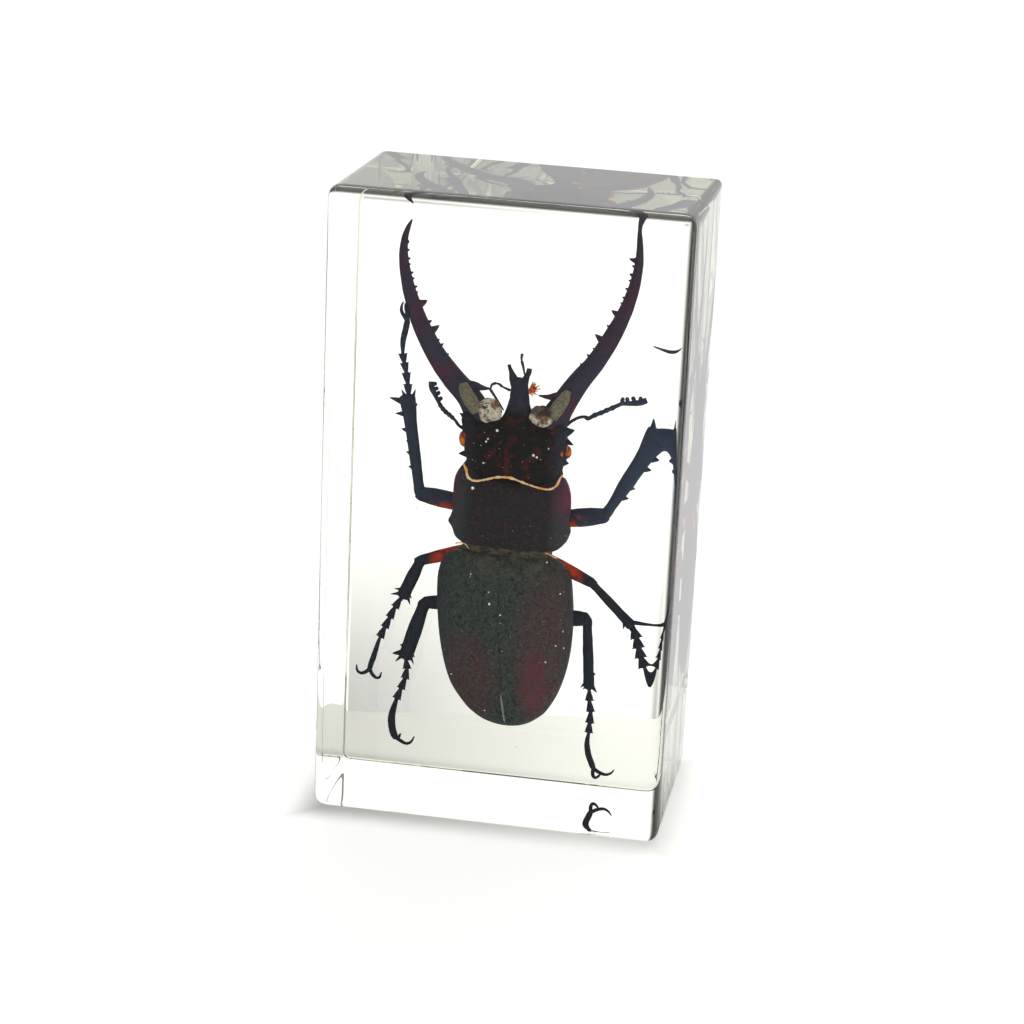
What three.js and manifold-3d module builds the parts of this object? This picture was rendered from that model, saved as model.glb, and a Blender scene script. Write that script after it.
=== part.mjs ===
// A large stag beetle cast in a clear resin block that stands on its short end.
// Millimetres, +Z up, the front of the block towards -Y, the origin at the bottom centre.
import * as THREE from 'three';
import { RoundedBoxGeometry } from 'three/addons/geometries/RoundedBoxGeometry.js';
import * as BufferGeometryUtils from 'three/addons/utils/BufferGeometryUtils.js';
import Module from 'manifold-3d';

const wasm = await Module();
wasm.setup();

// Driving dimensions of the block
const blockWidth = 60;
const blockDepth = 36;
const blockHeight = 108.5;
const edgeRadius = 2.6;
const edgeSteps = 2;

// The block is parted at the depth of the beetle's legs and jaws
const partingDepth = 8;
const partingGap = 0.3;

// Room left round the beetle in its pocket
const bodyRoom = 1.4;
const toothRoom = 2.7;
const hipRoom = 2.3;
const shinRoom = 1.7;
const longSpine = 1.5;
const thornSpread = 1.3;
const footRoom = 1.0;

// Sides of the facets, from the body down to the smallest thorns, and of the pocket
const bodySides = 12;
const jawSides = 8;
const limbSides = 6;
const footSides = 5;
const clawSides = 4;
const thornSides = 3;
const pocketSides = 6;

// ---- solids ----

function toSolid(geometry) {
  geometry.deleteAttribute('normal');
  geometry.deleteAttribute('uv');
  const merged = BufferGeometryUtils.mergeVertices(geometry, 1e-4);
  const mesh = new wasm.Mesh({
    numProp: 3,
    vertProperties: new Float32Array(merged.attributes.position.array),
    triVerts: new Uint32Array(merged.index.array),
  });
  return new wasm.Manifold(mesh);
}

function joinAll(solids) {
  return solids.reduce((joined, next) => joined.add(next));
}

function toNode(solid, name, material) {
  const mesh = solid.getMesh();
  const geometry = new THREE.BufferGeometry();
  geometry.setAttribute('position', new THREE.BufferAttribute(mesh.vertProperties, 3));
  geometry.setIndex(new THREE.BufferAttribute(mesh.triVerts, 1));
  geometry.computeVertexNormals();
  const node = new THREE.Mesh(geometry, material);
  node.name = name;
  return node;
}

// A closed limb through rings. Each ring is { x, y, z, wide, thick }: its centre, its half width
// across the limb in the plane of the body, and its half thickness along the block's depth.
// A ring may give `front` in place of `thick` for the side towards -Y.
function limb(rings, sides) {
  const geometry = new THREE.CylinderGeometry(1, 1, 1, sides, rings.length - 1);
  const centres = rings.map((ring) => new THREE.Vector3(ring.x, ring.y, ring.z));
  const depthAxis = new THREE.Vector3(0, 1, 0);
  const acrossAt = centres.map((centre, i) => {
    const before = centres[Math.max(i - 1, 0)];
    const after = centres[Math.min(i + 1, centres.length - 1)];
    const along = new THREE.Vector3().subVectors(after, before);
    return new THREE.Vector3().crossVectors(along, depthAxis).normalize();
  });
  const position = geometry.attributes.position;
  for (let i = 0; i < position.count; i += 1) {
    const row = Math.round((position.getY(i) + 0.5) * (rings.length - 1));
    const ring = rings[row];
    const sideways = position.getX(i);
    const inwards = position.getZ(i);
    const thick = inwards < 0 ? ring.front ?? ring.thick : ring.thick;
    const point = centres[row].clone();
    point.addScaledVector(acrossAt[row], sideways * ring.wide);
    point.addScaledVector(depthAxis, inwards * thick);
    position.setXYZ(i, point.x, point.y, point.z);
  }
  return geometry;
}

// The same limb grown by some room, with fewer rings and sides, for the pocket
function roomFor(rings, room) {
  const spread = 1 / Math.cos(Math.PI / pocketSides);
  const kept = rings.filter((ring, i) => i % 2 === 0 || i === rings.length - 1);
  const grown = kept.map((ring) => ({
    ...ring,
    wide: (ring.wide + room) * spread,
    thick: (ring.thick + bodyRoom) * spread,
    front: ((ring.front ?? ring.thick) + bodyRoom) * spread,
  }));
  const stretch = (end, inner) => {
    const tip = new THREE.Vector3(end.x, end.y, end.z);
    const out = tip.clone().sub(new THREE.Vector3(inner.x, inner.y, inner.z)).setLength(room);
    tip.add(out);
    return { ...end, x: tip.x, y: tip.y, z: tip.z };
  };
  const last = grown.length - 1;
  const first = stretch(grown[0], grown[1]);
  const final = stretch(grown[last], grown[last - 1]);
  return limb([first, ...grown.slice(1, last), final], pocketSides);
}

// A thorn from a base point to a tip
function thorn(base, tip, radius) {
  const length = base.distanceTo(tip);
  const geometry = new THREE.ConeGeometry(radius, length, thornSides);
  geometry.translate(0, length / 2, 0);
  const turn = new THREE.Quaternion();
  turn.setFromUnitVectors(new THREE.Vector3(0, 1, 0), tip.clone().sub(base).normalize());
  geometry.applyQuaternion(turn);
  geometry.translate(base.x, base.y, base.z);
  return geometry;
}

const point = (x, y, z) => new THREE.Vector3(x, y, z);

const beetle = [];
const pocket = [];

function grow(rings, sides, room) {
  beetle.push(toSolid(limb(rings, sides)));
  pocket.push(toSolid(roomFor(rings, room)));
}

// Rings along a smooth curve through a few points, thinning from root to tip
function curvedRings(points, count, rootWide, tipWide, flatness) {
  const curve = new THREE.CatmullRomCurve3(points);
  return curve.getSpacedPoints(count - 1).map((at, i) => {
    const t = i / (count - 1);
    const wide = THREE.MathUtils.lerp(rootWide, tipWide, t);
    return { x: at.x, y: at.y, z: at.z, wide, thick: wide * flatness };
  });
}

// ---- body ----

// Wing cases over the abdomen, from the apex up to the shoulders
const wingCases = [
  { x: 0.9, y: 6.4, z: 12.7, wide: 0.9, front: 0.8, thick: 0.8 },
  { x: 0.8, y: 6.2, z: 13.5, wide: 3.8, front: 2.2, thick: 1.8 },
  { x: 0.6, y: 6.0, z: 16.0, wide: 6.9, front: 3.9, thick: 3.0 },
  { x: 0.4, y: 5.8, z: 20.0, wide: 9.5, front: 5.3, thick: 4.0 },
  { x: 0.1, y: 5.6, z: 26.0, wide: 11.5, front: 6.3, thick: 4.7 },
  { x: -0.2, y: 5.5, z: 33.0, wide: 12.3, front: 6.6, thick: 5.0 },
  { x: -0.5, y: 5.5, z: 39.0, wide: 12.0, front: 6.3, thick: 5.0 },
  { x: -0.7, y: 5.5, z: 42.3, wide: 10.8, front: 5.6, thick: 4.8 },
  { x: -0.9, y: 5.6, z: 43.9, wide: 8.6, front: 4.4, thick: 4.5 },
];

// Clear space under the body, where the legs leave it
const hipSpace = [
  { x: 0, y: 9, z: 28, wide: 14, thick: 3 },
  { x: 0, y: 9, z: 35, wide: 19.5, thick: 3 },
  { x: 0, y: 9, z: 47, wide: 13, thick: 3 },
];

// The narrow waist between the wing cases and the pronotum
const waist = [
  { x: -0.8, y: 6.0, z: 42.5, wide: 6.6, front: 3.2, thick: 4.0 },
  { x: -0.4, y: 6.0, z: 47.0, wide: 6.8, front: 3.2, thick: 4.0 },
];

const pronotum = [
  { x: -0.3, y: 5.6, z: 45.3, wide: 7.3, front: 3.2, thick: 3.9 },
  { x: -0.3, y: 5.5, z: 46.7, wide: 9.5, front: 4.0, thick: 4.3 },
  { x: -0.2, y: 5.5, z: 49.8, wide: 10.5, front: 4.6, thick: 4.6 },
  { x: -0.1, y: 5.5, z: 54.0, wide: 10.2, front: 4.7, thick: 4.6 },
  { x: 0.0, y: 5.5, z: 57.4, wide: 10.0, front: 4.2, thick: 4.4 },
  { x: 0.1, y: 5.6, z: 59.2, wide: 8.6, front: 3.4, thick: 3.8 },
  { x: 0.1, y: 5.7, z: 60.2, wide: 6.6, front: 2.6, thick: 3.2 },
];

const head = [
  { x: 0.0, y: 5.8, z: 58.0, wide: 6.6, front: 2.2, thick: 3.0 },
  { x: 0.1, y: 5.8, z: 60.6, wide: 8.4, front: 3.0, thick: 3.3 },
  { x: 0.1, y: 5.8, z: 63.0, wide: 9.3, front: 3.3, thick: 3.4 },
  { x: 0.1, y: 5.9, z: 66.0, wide: 9.6, front: 3.2, thick: 3.3 },
  { x: 0.1, y: 6.0, z: 68.6, wide: 9.2, front: 2.7, thick: 3.0 },
  { x: 0.2, y: 6.1, z: 70.4, wide: 6.0, front: 1.9, thick: 2.4 },
];

// The forked shield over the mouth
const clypeus = [
  { x: 0.3, y: 5.6, z: 68.6, wide: 3.6, front: 1.4, thick: 1.2 },
  { x: 0.4, y: 5.6, z: 71.0, wide: 2.0, front: 1.1, thick: 0.9 },
  { x: 0.4, y: 5.5, z: 74.0, wide: 1.5, front: 0.9, thick: 0.7 },
  { x: 0.3, y: 5.5, z: 76.2, wide: 1.9, front: 0.8, thick: 0.6 },
];
const clypeusProngs = [
  [point(-0.6, 5.5, 75.2), point(-1.5, 5.4, 78.0)],
  [point(1.2, 5.5, 75.2), point(2.0, 5.4, 77.8)],
];

pocket.push(toSolid(limb(hipSpace, pocketSides)));
grow(wingCases, bodySides, hipRoom);
grow(waist, bodySides, bodyRoom);
grow(pronotum, bodySides, bodyRoom);
grow(head, bodySides, hipRoom);
grow(clypeus, limbSides, hipRoom);
for (const [root, tip] of clypeusProngs) {
  beetle.push(toSolid(thorn(root, tip, 0.9)));
}

// Thorns and eyes down each side of the head
const headThorns = [
  [68.4, 9.0, 69.6, 10.4],
  [63.4, 8.6, 63.0, 10.2],
  [61.4, 8.0, 60.6, 9.6],
];
const eyeRadius = 1.1;
for (const side of [-1, 1]) {
  for (const [rootHeight, rootOut, tipHeight, tipOut] of headThorns) {
    const root = point(side * rootOut, 6, rootHeight);
    beetle.push(toSolid(thorn(root, point(side * tipOut, 6, tipHeight), 0.8)));
  }
  const eye = new THREE.SphereGeometry(eyeRadius, 6, 4);
  eye.translate(side * 9.2, 6, 65.6);
  beetle.push(toSolid(eye));
}

// ---- jaws ----

// Middle line of each jaw from root to tip, as [x, y, z, half width]
const leftJaw = [
  [-6.0, 6.6, 67.2, 2.9],
  [-8.0, 6.9, 70.8, 2.2],
  [-11.6, 7.3, 74.4, 1.95],
  [-14.6, 7.5, 78.4, 1.7],
  [-17.2, 7.7, 83.0, 1.5],
  [-19.2, 7.8, 88.0, 1.15],
  [-20.5, 7.9, 93.4, 0.85],
  [-20.6, 8.0, 97.4, 0.6],
  [-19.4, 8.0, 100.9, 0.12],
];
const rightJaw = [
  [5.6, 6.6, 67.4, 2.8],
  [7.4, 6.9, 71.4, 2.1],
  [10.0, 7.3, 75.6, 1.8],
  [12.7, 7.5, 79.4, 1.6],
  [15.4, 7.7, 84.2, 1.45],
  [17.5, 7.8, 89.2, 1.15],
  [18.8, 7.9, 94.4, 0.85],
  [19.1, 8.0, 99.2, 0.6],
  [18.7, 8.0, 103.9, 0.12],
];
// Teeth along the inner edge: [share of the way from root to tip, length]
const jawTeeth = [
  [0.12, 2.2],
  [0.33, 0.7],
  [0.4, 0.7],
  [0.44, 2.0],
  [0.51, 0.7],
  [0.56, 1.4],
  [0.68, 0.6],
  [0.76, 0.6],
  [0.84, 0.6],
];

function jaw(path, inwardSign) {
  const rings = path.map(([x, y, z, wide]) => ({ x, y, z, wide, thick: wide * 0.75 + 0.15 }));
  grow(rings, jawSides, toothRoom);
  const line = new THREE.CatmullRomCurve3(path.map(([x, y, z]) => point(x, y, z)));
  const widths = path.map((entry) => entry[3]);
  for (const [share, length] of jawTeeth) {
    const at = line.getPoint(share);
    const along = line.getTangent(share);
    const inward = point(along.z, 0, -along.x).multiplyScalar(inwardSign);
    const step = share * (widths.length - 1);
    const wide = THREE.MathUtils.lerp(
      widths[Math.floor(step)], widths[Math.ceil(step)], step - Math.floor(step));
    const root = at.clone().addScaledVector(inward, wide * 0.4);
    const tip = at.clone().addScaledVector(inward, wide + length).addScaledVector(along, 0.3);
    beetle.push(toSolid(thorn(root, tip, 0.45 + length * 0.25)));
  }
}

jaw(leftJaw, 1);
jaw(rightJaw, -1);

// ---- antennae and feelers ----

// Stalk points from the head out to the club, then four comb plates on one side of the club
const antennae = [
  {
    stalk: [[-8.6, 6.4, 67.6], [-10.6, 6.8, 67.6], [-12.6, 7, 68.6], [-14.2, 7, 70.3], [-15.3, 7, 73.6]],
    comb: [1.0, 0.25],
  },
  {
    stalk: [[8.4, 6.4, 68.4], [11.5, 6.8, 69.6], [14.4, 7, 70.6], [17.5, 7, 72.2], [22, 7, 73.6]],
    comb: [-0.2, 1.0],
  },
];
const combShares = [0.76, 0.83, 0.9, 0.97];

for (const { stalk, comb } of antennae) {
  const points = stalk.map((xyz) => point(...xyz));
  grow(curvedRings(points, 6, 0.42, 0.34, 0.9), footSides, toothRoom);
  const line = new THREE.CatmullRomCurve3(points);
  for (const share of combShares) {
    const root = line.getPoint(share);
    const tip = root.clone().add(point(comb[0] * 1.3, 0, comb[1] * 1.3));
    beetle.push(toSolid(thorn(root, tip, 0.45)));
  }
}

const feelers = [
  [[-2.2, 5.6, 69.6], [-3.4, 5.4, 72.6], [-4.8, 5.4, 73.6]],
  [[0.6, 5.6, 74.6], [1.0, 5.8, 77.6], [0.6, 5.8, 79.8]],
];
for (const feeler of feelers) {
  const points = feeler.map((xyz) => point(...xyz));
  grow(curvedRings(points, 4, 0.38, 0.24, 0.9), clawSides, footRoom);
}

// ---- legs ----

// Each leg runs hip, knee, ankle, along the foot, then two claws bend away from its end.
// `spines` are [share along the shin, side of the shin, length].
const legs = [
  { // left fore leg, reaching forwards beside the jaw
    hip: [-8, 8.6, 52.0], knee: [-16.9, 8.3, 53.4], ankle: [-19.2, 8, 70.6],
    foot: [[-19.0, 8, 70.6], [-19.8, 7.8, 74.8], [-20.3, 7.6, 79.4], [-19.9, 7.4, 85.2]],
    claws: [[[-21.2, 7.4, 87.4], [-20.4, 7.4, 89.2]], [[-19.4, 7.2, 86.8], [-19.6, 7.2, 88.6]]],
    thigh: 1.7, shin: [1.05, 1.7], sole: 0.42,
    spines: [[0.35, 1, 0.9], [0.5, 1, 0.9], [0.74, 1, 1.2], [0.88, 1, 1.6], [0.97, 1, 2.6],
      [0.98, -1, 1.4]],
  },
  { // right fore leg, its foot turned up close to the side of the block
    hip: [8, 8.6, 51.0], knee: [15.9, 8.3, 52.4], ankle: [24.8, 8, 68.2],
    foot: [[25.8, 8, 69.2], [27.0, 8, 72.6], [27.5, 8, 76.6], [27.4, 8, 81.4]],
    claws: [[[26.2, 8, 82.8], [22.5, 8, 83.4]], [[27.8, 8, 83.4], [27.4, 8, 85.4]]],
    thigh: 1.6, shin: [1.0, 2.3], sole: 0.42,
    spines: [[0.4, -1, 0.9], [0.55, -1, 0.9], [0.7, -1, 1.2], [0.84, -1, 1.6], [0.96, -1, 2.2],
      [0.98, 1, 1.7]],
  },
  { // left middle leg
    hip: [-4.5, 8.6, 45.0], knee: [-16.4, 8.8, 41.2], ankle: [-20.1, 8.4, 33.4],
    foot: [[-20.4, 8.4, 32.8], [-22.0, 8.4, 28.4], [-23.1, 8.4, 24.4], [-24.4, 8.4, 20.4]],
    claws: [[[-26.4, 8.2, 19.4], [-26.7, 8.2, 21.2]], [[-23.4, 8.2, 18.6], [-22.6, 8.2, 19.8]]],
    thigh: 1.1, shin: [0.75, 1.15], sole: 0.36,
    spines: [[0.84, -1, 1.0], [0.97, -1, 1.6], [0.97, 1, 1.4]],
  },
  { // right middle leg, its foot running down beside the side of the block
    hip: [4.0, 8.6, 44.6], knee: [14.3, 8.8, 39.6], ankle: [21.9, 8.4, 32.8],
    foot: [[22.3, 8.4, 32.0], [23.4, 8.4, 28.2], [25.1, 8.4, 24.2], [26.8, 8.4, 19.6]],
    claws: [[[27.0, 8.2, 17.6], [26.0, 8.2, 16.8]], [[27.7, 8.2, 18.0], [27.8, 8.2, 16.4]]],
    thigh: 1.1, shin: [0.75, 1.1], sole: 0.36,
    spines: [[0.9, -1, 1.3], [0.99, 1, 3.4]],
  },
  { // left hind leg
    hip: [-9, 9.2, 34.2], knee: [-15.2, 9.4, 34.2], ankle: [-18.2, 9.4, 22.3],
    foot: [[-18.2, 9.4, 21.6], [-18.8, 9.4, 17.2], [-20.1, 9.4, 12.4], [-19.2, 9.4, 7.9]],
    claws: [[[-17.4, 9.2, 6.8], [-15.8, 9.2, 8.2]], [[-19.4, 9.2, 7.4], [-18.0, 9.2, 8.6]]],
    thigh: 1.4, shin: [0.85, 1.3], sole: 0.38,
    spines: [[0.8, -1, 0.8], [0.98, -1, 1.9], [0.96, 1, 1.2]],
  },
  { // right hind leg, its foot set back towards the rear face
    hip: [8.5, 9.2, 33.0], knee: [13.4, 9.8, 33.7], ankle: [14.1, 12.0, 20.0],
    foot: [[14.1, 12.4, 19.4], [14.2, 13.2, 13.6], [14.0, 13.8, 8.6], [15.2, 14, 4.4]],
    claws: [[[17.2, 14, 3.2], [19.0, 14, 4.1]], [[15.4, 14, 2.8], [16.8, 14, 3.3]]],
    thigh: 1.4, shin: [0.85, 1.2], sole: 0.38,
    spines: [[0.96, -1, 1.5], [0.97, 1, 1.4]],
  },
];
const footJoints = 5;

function thighAndShin({ hip, knee, ankle, thigh, shin, spines }) {
  const [start, bend, end] = [hip, knee, ankle].map((xyz) => point(...xyz));
  const ringAt = (at, wide) => ({ x: at.x, y: at.y, z: at.z, wide, thick: wide * 0.8 });
  const thighRings = [0, 0.85, 1.08].map((share, i) => {
    const wide = thigh * [0.85, 0.95, 0.55][i];
    return ringAt(start.clone().lerp(bend, share), wide);
  });
  grow(thighRings, limbSides, hipRoom);
  const shinRings = [-0.03, 0.15, 0.6, 0.93, 1.0].map((share, i) => {
    const wide = [shin[0] * 0.7, shin[0], (shin[0] + shin[1]) * 0.46, shin[1], shin[1] * 0.6][i];
    return ringAt(bend.clone().lerp(end, share), wide);
  });
  grow(shinRings, limbSides, shinRoom);
  const along = end.clone().sub(bend).normalize();
  const outward = point(-along.z, 0, along.x).normalize();
  for (const [share, side, length] of spines) {
    const at = bend.clone().lerp(end, share);
    const edge = THREE.MathUtils.lerp(shin[0], shin[1], share);
    const tip = at.clone().addScaledVector(outward, side * (edge + length * 0.8));
    tip.addScaledVector(along, length * 0.55);
    beetle.push(toSolid(thorn(at, tip, 0.35 + edge * 0.3)));
    if (length > longSpine) {
      const past = tip.clone().addScaledVector(outward, side * footRoom);
      pocket.push(toSolid(thorn(at, past, thornSpread * (edge + shinRoom))));
    }
  }
}

function foot({ knee, ankle, foot: path, claws, sole }) {
  const root = point(...ankle).lerp(point(...knee), 0.06);
  const line = new THREE.CatmullRomCurve3([root, ...path.map((xyz) => point(...xyz))]);
  const rings = [];
  for (let joint = 0; joint < footJoints; joint += 1) {
    const isLast = joint === footJoints - 1;
    const from = joint * 0.13;
    const to = isLast ? 1 : from + 0.12;
    const starts = line.getPoint(from);
    const ends = line.getPoint(to);
    rings.push({ x: starts.x, y: starts.y, z: starts.z, wide: sole * 0.75, thick: sole * 0.7 });
    rings.push({ x: ends.x, y: ends.y, z: ends.z, wide: sole * 1.7, thick: sole });
  }
  const middle = line.getPoint(0.76);
  const swell = { x: middle.x, y: middle.y, z: middle.z, wide: sole, thick: sole };
  rings.splice(rings.length - 1, 0, swell);
  beetle.push(toSolid(limb(rings, footSides)));
  pocket.push(toSolid(roomFor([rings[0], rings[1], rings[4], rings[5], swell, rings.at(-1)], footRoom)));
  const heel = line.getPoint(0.96);
  for (const claw of claws) {
    const points = [heel, ...claw.map((xyz) => point(...xyz))];
    const clawRings = curvedRings(points, 4, 0.42, 0.12, 0.9);
    beetle.push(toSolid(limb(clawRings, clawSides)));
    pocket.push(toSolid(roomFor(curvedRings(points, 5, 0.42, 0.3, 0.9), footRoom)));
  }
}

for (const leg of legs) {
  thighAndShin(leg);
  foot(leg);
}

// ---- block ----

const wholeBlock = toSolid(
  new RoundedBoxGeometry(blockWidth, blockDepth, blockHeight, edgeSteps, edgeRadius)
    .translate(0, 0, blockHeight / 2));
const hollowBlock = wholeBlock.subtract(joinAll(pocket));

// A box that keeps one side of the parting plane
function sideOfParting(sign) {
  const box = new THREE.BoxGeometry(2 * blockWidth, blockDepth, 2 * blockHeight);
  const middle = partingDepth + sign * (blockDepth + partingGap) / 2;
  return toSolid(box.translate(0, middle, blockHeight / 2));
}

// ---- materials and the object ----

const resinMaterial = new THREE.MeshStandardMaterial({
  color: 0xeef0e6, roughness: 0.05, metalness: 0, transparent: true, opacity: 0.3,
});
const chitinMaterial = new THREE.MeshStandardMaterial({
  color: 0x241018, roughness: 0.35, metalness: 0,
});

const insectInResin = new THREE.Group();
insectInResin.add(toNode(joinAll(beetle), 'stag_beetle', chitinMaterial));
for (const [name, sign] of [['resin_front', -1], ['resin_back', 1]]) {
  insectInResin.add(toNode(hollowBlock.intersect(sideOfParting(sign)), name, resinMaterial));
}

export default insectInResin;
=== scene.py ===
import math
import random

import bmesh
import bpy
from mathutils import Matrix, Vector, noise
from mathutils.bvhtree import BVHTree


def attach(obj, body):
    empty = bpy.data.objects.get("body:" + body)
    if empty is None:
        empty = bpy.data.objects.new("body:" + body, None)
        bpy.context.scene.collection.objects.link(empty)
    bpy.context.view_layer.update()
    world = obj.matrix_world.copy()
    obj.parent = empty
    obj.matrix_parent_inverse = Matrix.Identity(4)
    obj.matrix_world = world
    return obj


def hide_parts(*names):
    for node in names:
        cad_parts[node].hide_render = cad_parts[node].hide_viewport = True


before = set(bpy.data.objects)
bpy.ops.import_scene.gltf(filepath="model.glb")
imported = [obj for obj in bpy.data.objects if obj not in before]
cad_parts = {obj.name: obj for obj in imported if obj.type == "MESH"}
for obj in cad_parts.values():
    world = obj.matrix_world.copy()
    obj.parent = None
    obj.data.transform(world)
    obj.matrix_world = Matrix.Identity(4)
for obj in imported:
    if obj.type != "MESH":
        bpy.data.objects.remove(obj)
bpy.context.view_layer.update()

mm = 0.001   # every dictionary below is in millimetres
scene = bpy.context.scene
depthAxis = Vector((0, 1, 0))   # from the front face of the block to its rear face
noise.seed_set(2)   # without it the vector noise starts from the clock


# ---- mesh helpers ----

def mix(a, b, t):
    return a + (b - a) * t


def smoothStep(low, high, value):
    t = min(max((value - low) / (high - low), 0.0), 1.0)
    return t * t * (3 - 2 * t)


def rowAt(rows, marks, at):
    # One row on the smooth line through the given rows
    i = 0
    while i < len(rows) - 2 and at > marks[i + 1]:
        i += 1
    span = marks[i + 1] - marks[i]
    t = min(max((at - marks[i]) / span, 0.0), 1.0)
    before, after = max(i - 1, 0), min(i + 2, len(rows) - 1)
    result = []
    for k in range(len(rows[0])):
        a, b = rows[i][k], rows[i + 1][k]
        slopeA = (b - rows[before][k]) / (marks[i + 1] - marks[before]) * span
        slopeB = (rows[after][k] - a) / (marks[after] - marks[i]) * span
        result.append((2 * t**3 - 3 * t**2 + 1) * a + (t**3 - 2 * t**2 + t) * slopeA
                      + (3 * t**2 - 2 * t**3) * b + (t**3 - t**2) * slopeB)
    return result


def smoothRows(rows, count):
    # The same limb in `count` even steps; a row is x, y, z and then its sizes
    marks = [0.0]
    for a, b in zip(rows, rows[1:]):
        marks.append(marks[-1] + (Vector(b[:3]) - Vector(a[:3])).length)
    return [rowAt(rows, marks, marks[-1] * i / (count - 1)) for i in range(count)]


def rollGrid(bm, around, along, place):
    # A grid rolled up into a closed tube: place(turn, run) gives a point for turn and run in 0 to 1
    grid = bmesh.ops.create_grid(bm, x_segments=around, y_segments=along, size=0.5)["verts"]
    for v in grid:
        v.co = place(v.co.x + 0.5, v.co.y + 0.5)
    bmesh.ops.remove_doubles(bm, verts=grid, dist=1e-4)
    return [v for v in grid if v.is_valid]


def ringFrames(rows):
    frames = []
    for i, row in enumerate(rows):
        before, after = rows[max(i - 1, 0)], rows[min(i + 1, len(rows) - 1)]
        along = (Vector(after[:3]) - Vector(before[:3])).normalized()
        across = along.cross(depthAxis).normalized()
        frames.append((Vector(row[:3]), across, across.cross(along).normalized()))
    return frames


def growLimb(bm, rows, sides=20, fullness=2.0):
    # Rows are x, y, z, half width, half thickness towards the back, and towards the front
    frames = ringFrames(rows)
    power = 2.0 / fullness

    def place(turn, run):
        i = round(run * (len(rows) - 1))
        centre, across, depth = frames[i]
        angle = turn * 2 * math.pi
        u, v = math.cos(angle), math.sin(angle)
        u = math.copysign(abs(u) ** power, u)
        v = math.copysign(abs(v) ** power, v)
        wide, back = rows[i][3], rows[i][4]
        front = rows[i][5] if len(rows[i]) > 5 else back
        shut = 0.0 if i in (0, len(rows) - 1) else 1.0
        return centre + shut * (across * u * wide + depth * v * (front if v < 0 else back))

    return rollGrid(bm, sides, len(rows) - 1, place)


def closeEnds(rows):
    # A first and a last ring drawn in, so that the ends are closed and rounded
    first, last = list(rows[0]), list(rows[-1])
    return [first] + [list(row) for row in rows] + [last]


def growThorn(bm, root, tip, radius, lean=(0, 0, 0), sides=10, flat=0.8):
    # A thorn bent towards `lean` on its way to the tip
    root, tip, lean = Vector(root), Vector(tip), Vector(lean)
    rows = []
    for i in range(7):
        t = i / 6
        at = root.lerp(tip, t) + lean * (t * (1 - t))
        size = radius * (1 - t) ** 0.8 + 0.02
        rows.append((*at, size, size * flat))
    return growLimb(bm, closeEnds(rows), sides)


def roughen(verts, size, height, seed):
    # Uneven growth: the vertices are pushed along a slow noise
    shift = Vector((seed * 3.1, seed * 1.7, seed * 2.3))
    for v in verts:
        v.co += noise.noise_vector(v.co / size + shift) * height


shellTrees = []
slant = Vector((-0.075, 1, -0.187))   # the line along which small things are set on the shell


def onShell(x, z, above=0.0):
    # The first point of the shell on the slanted line through x and z at 3 mm depth
    start = Vector((x, 3, z)) - slant * 20
    hits = [tree.ray_cast(start, slant)[0] for tree in shellTrees]
    depths = [hit.y for hit in hits if hit is not None]
    if not depths:
        return None
    return Vector((x, 3, z)) + slant * (min(depths) - above - 3)


def makePiece(name, bm, material, replacedNodes=(), carries=False):
    bmesh.ops.recalc_face_normals(bm, faces=bm.faces)
    if carries:   # smaller things are set on it later
        shellTrees.append(BVHTree.FromBMesh(bm))
    bmesh.ops.scale(bm, vec=(mm, mm, mm), verts=bm.verts)
    mesh = bpy.data.meshes.new(name)
    bm.to_mesh(mesh)
    bm.free()
    for face in mesh.polygons:
        face.use_smooth = True
    mesh.materials.append(material)
    piece = bpy.data.objects.new(name, mesh)
    scene.collection.objects.link(piece)
    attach(piece, "root")
    if replacedNodes:
        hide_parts(*replacedNodes)
    print("made", name, len(mesh.polygons), "faces")
    return piece


# ---- material helpers ----

def setInput(socket, value):
    # Linked to another socket, or set to a number, a place or a colour
    if isinstance(value, bpy.types.NodeSocket):
        socket.id_data.links.new(value, socket)
    elif socket.type == "RGBA":
        socket.default_value = (*value[:3], 1)
    else:
        socket.default_value = value


def addNode(tree, kind, inputs=None, **settings):
    node = tree.nodes.new("ShaderNode" + kind)
    for key, value in settings.items():
        setattr(node, key, value)
    for key, value in (inputs or {}).items():
        setInput(node.inputs[key], value)
    return node


def treeOf(*values):
    return next(value.id_data for value in values if isinstance(value, bpy.types.NodeSocket))


def mathNode(operation, a, b=0.0, clamp=False):
    node = addNode(treeOf(a, b), "Math", {0: a, 1: b}, operation=operation, use_clamp=clamp)
    return node.outputs["Value"]


def times(a, b):
    return mathNode("MULTIPLY", a, b)


def minus(a, b):
    return mathNode("SUBTRACT", a, b)


def larger(a, b):
    return mathNode("MAXIMUM", a, b)


def sizeOf(a):
    return mathNode("ABSOLUTE", a)


def rampOn(value, low, high, bottom=0.0, top=1.0, eased=True):
    # bottom at low to top at high
    inputs = {"Value": value, "From Min": low, "From Max": high, "To Min": bottom, "To Max": top}
    kind = "SMOOTHSTEP" if eased else "LINEAR"
    return addNode(value.id_data, "MapRange", inputs, interpolation_type=kind).outputs["Result"]


def mixColour(mask, below, above):
    tree = treeOf(mask, below, above)
    return addNode(tree, "Mix", {"Factor": mask, 6: below, 7: above}, data_type="RGBA").outputs[2]


def cloudsOn(place, scale, detail=2.0, roughness=0.5, twist=0.0):
    inputs = {"Vector": place, "Scale": scale, "Detail": detail, "Roughness": roughness,
              "Distortion": twist}
    return addNode(place.id_data, "TexNoise", inputs).outputs["Fac"]


def objectPlace(tree):
    # The point in the piece's own metres, and its x, y and z
    place = addNode(tree, "TexCoord").outputs["Object"]
    return (place, *addNode(tree, "SeparateXYZ", {"Vector": place}).outputs)


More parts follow.
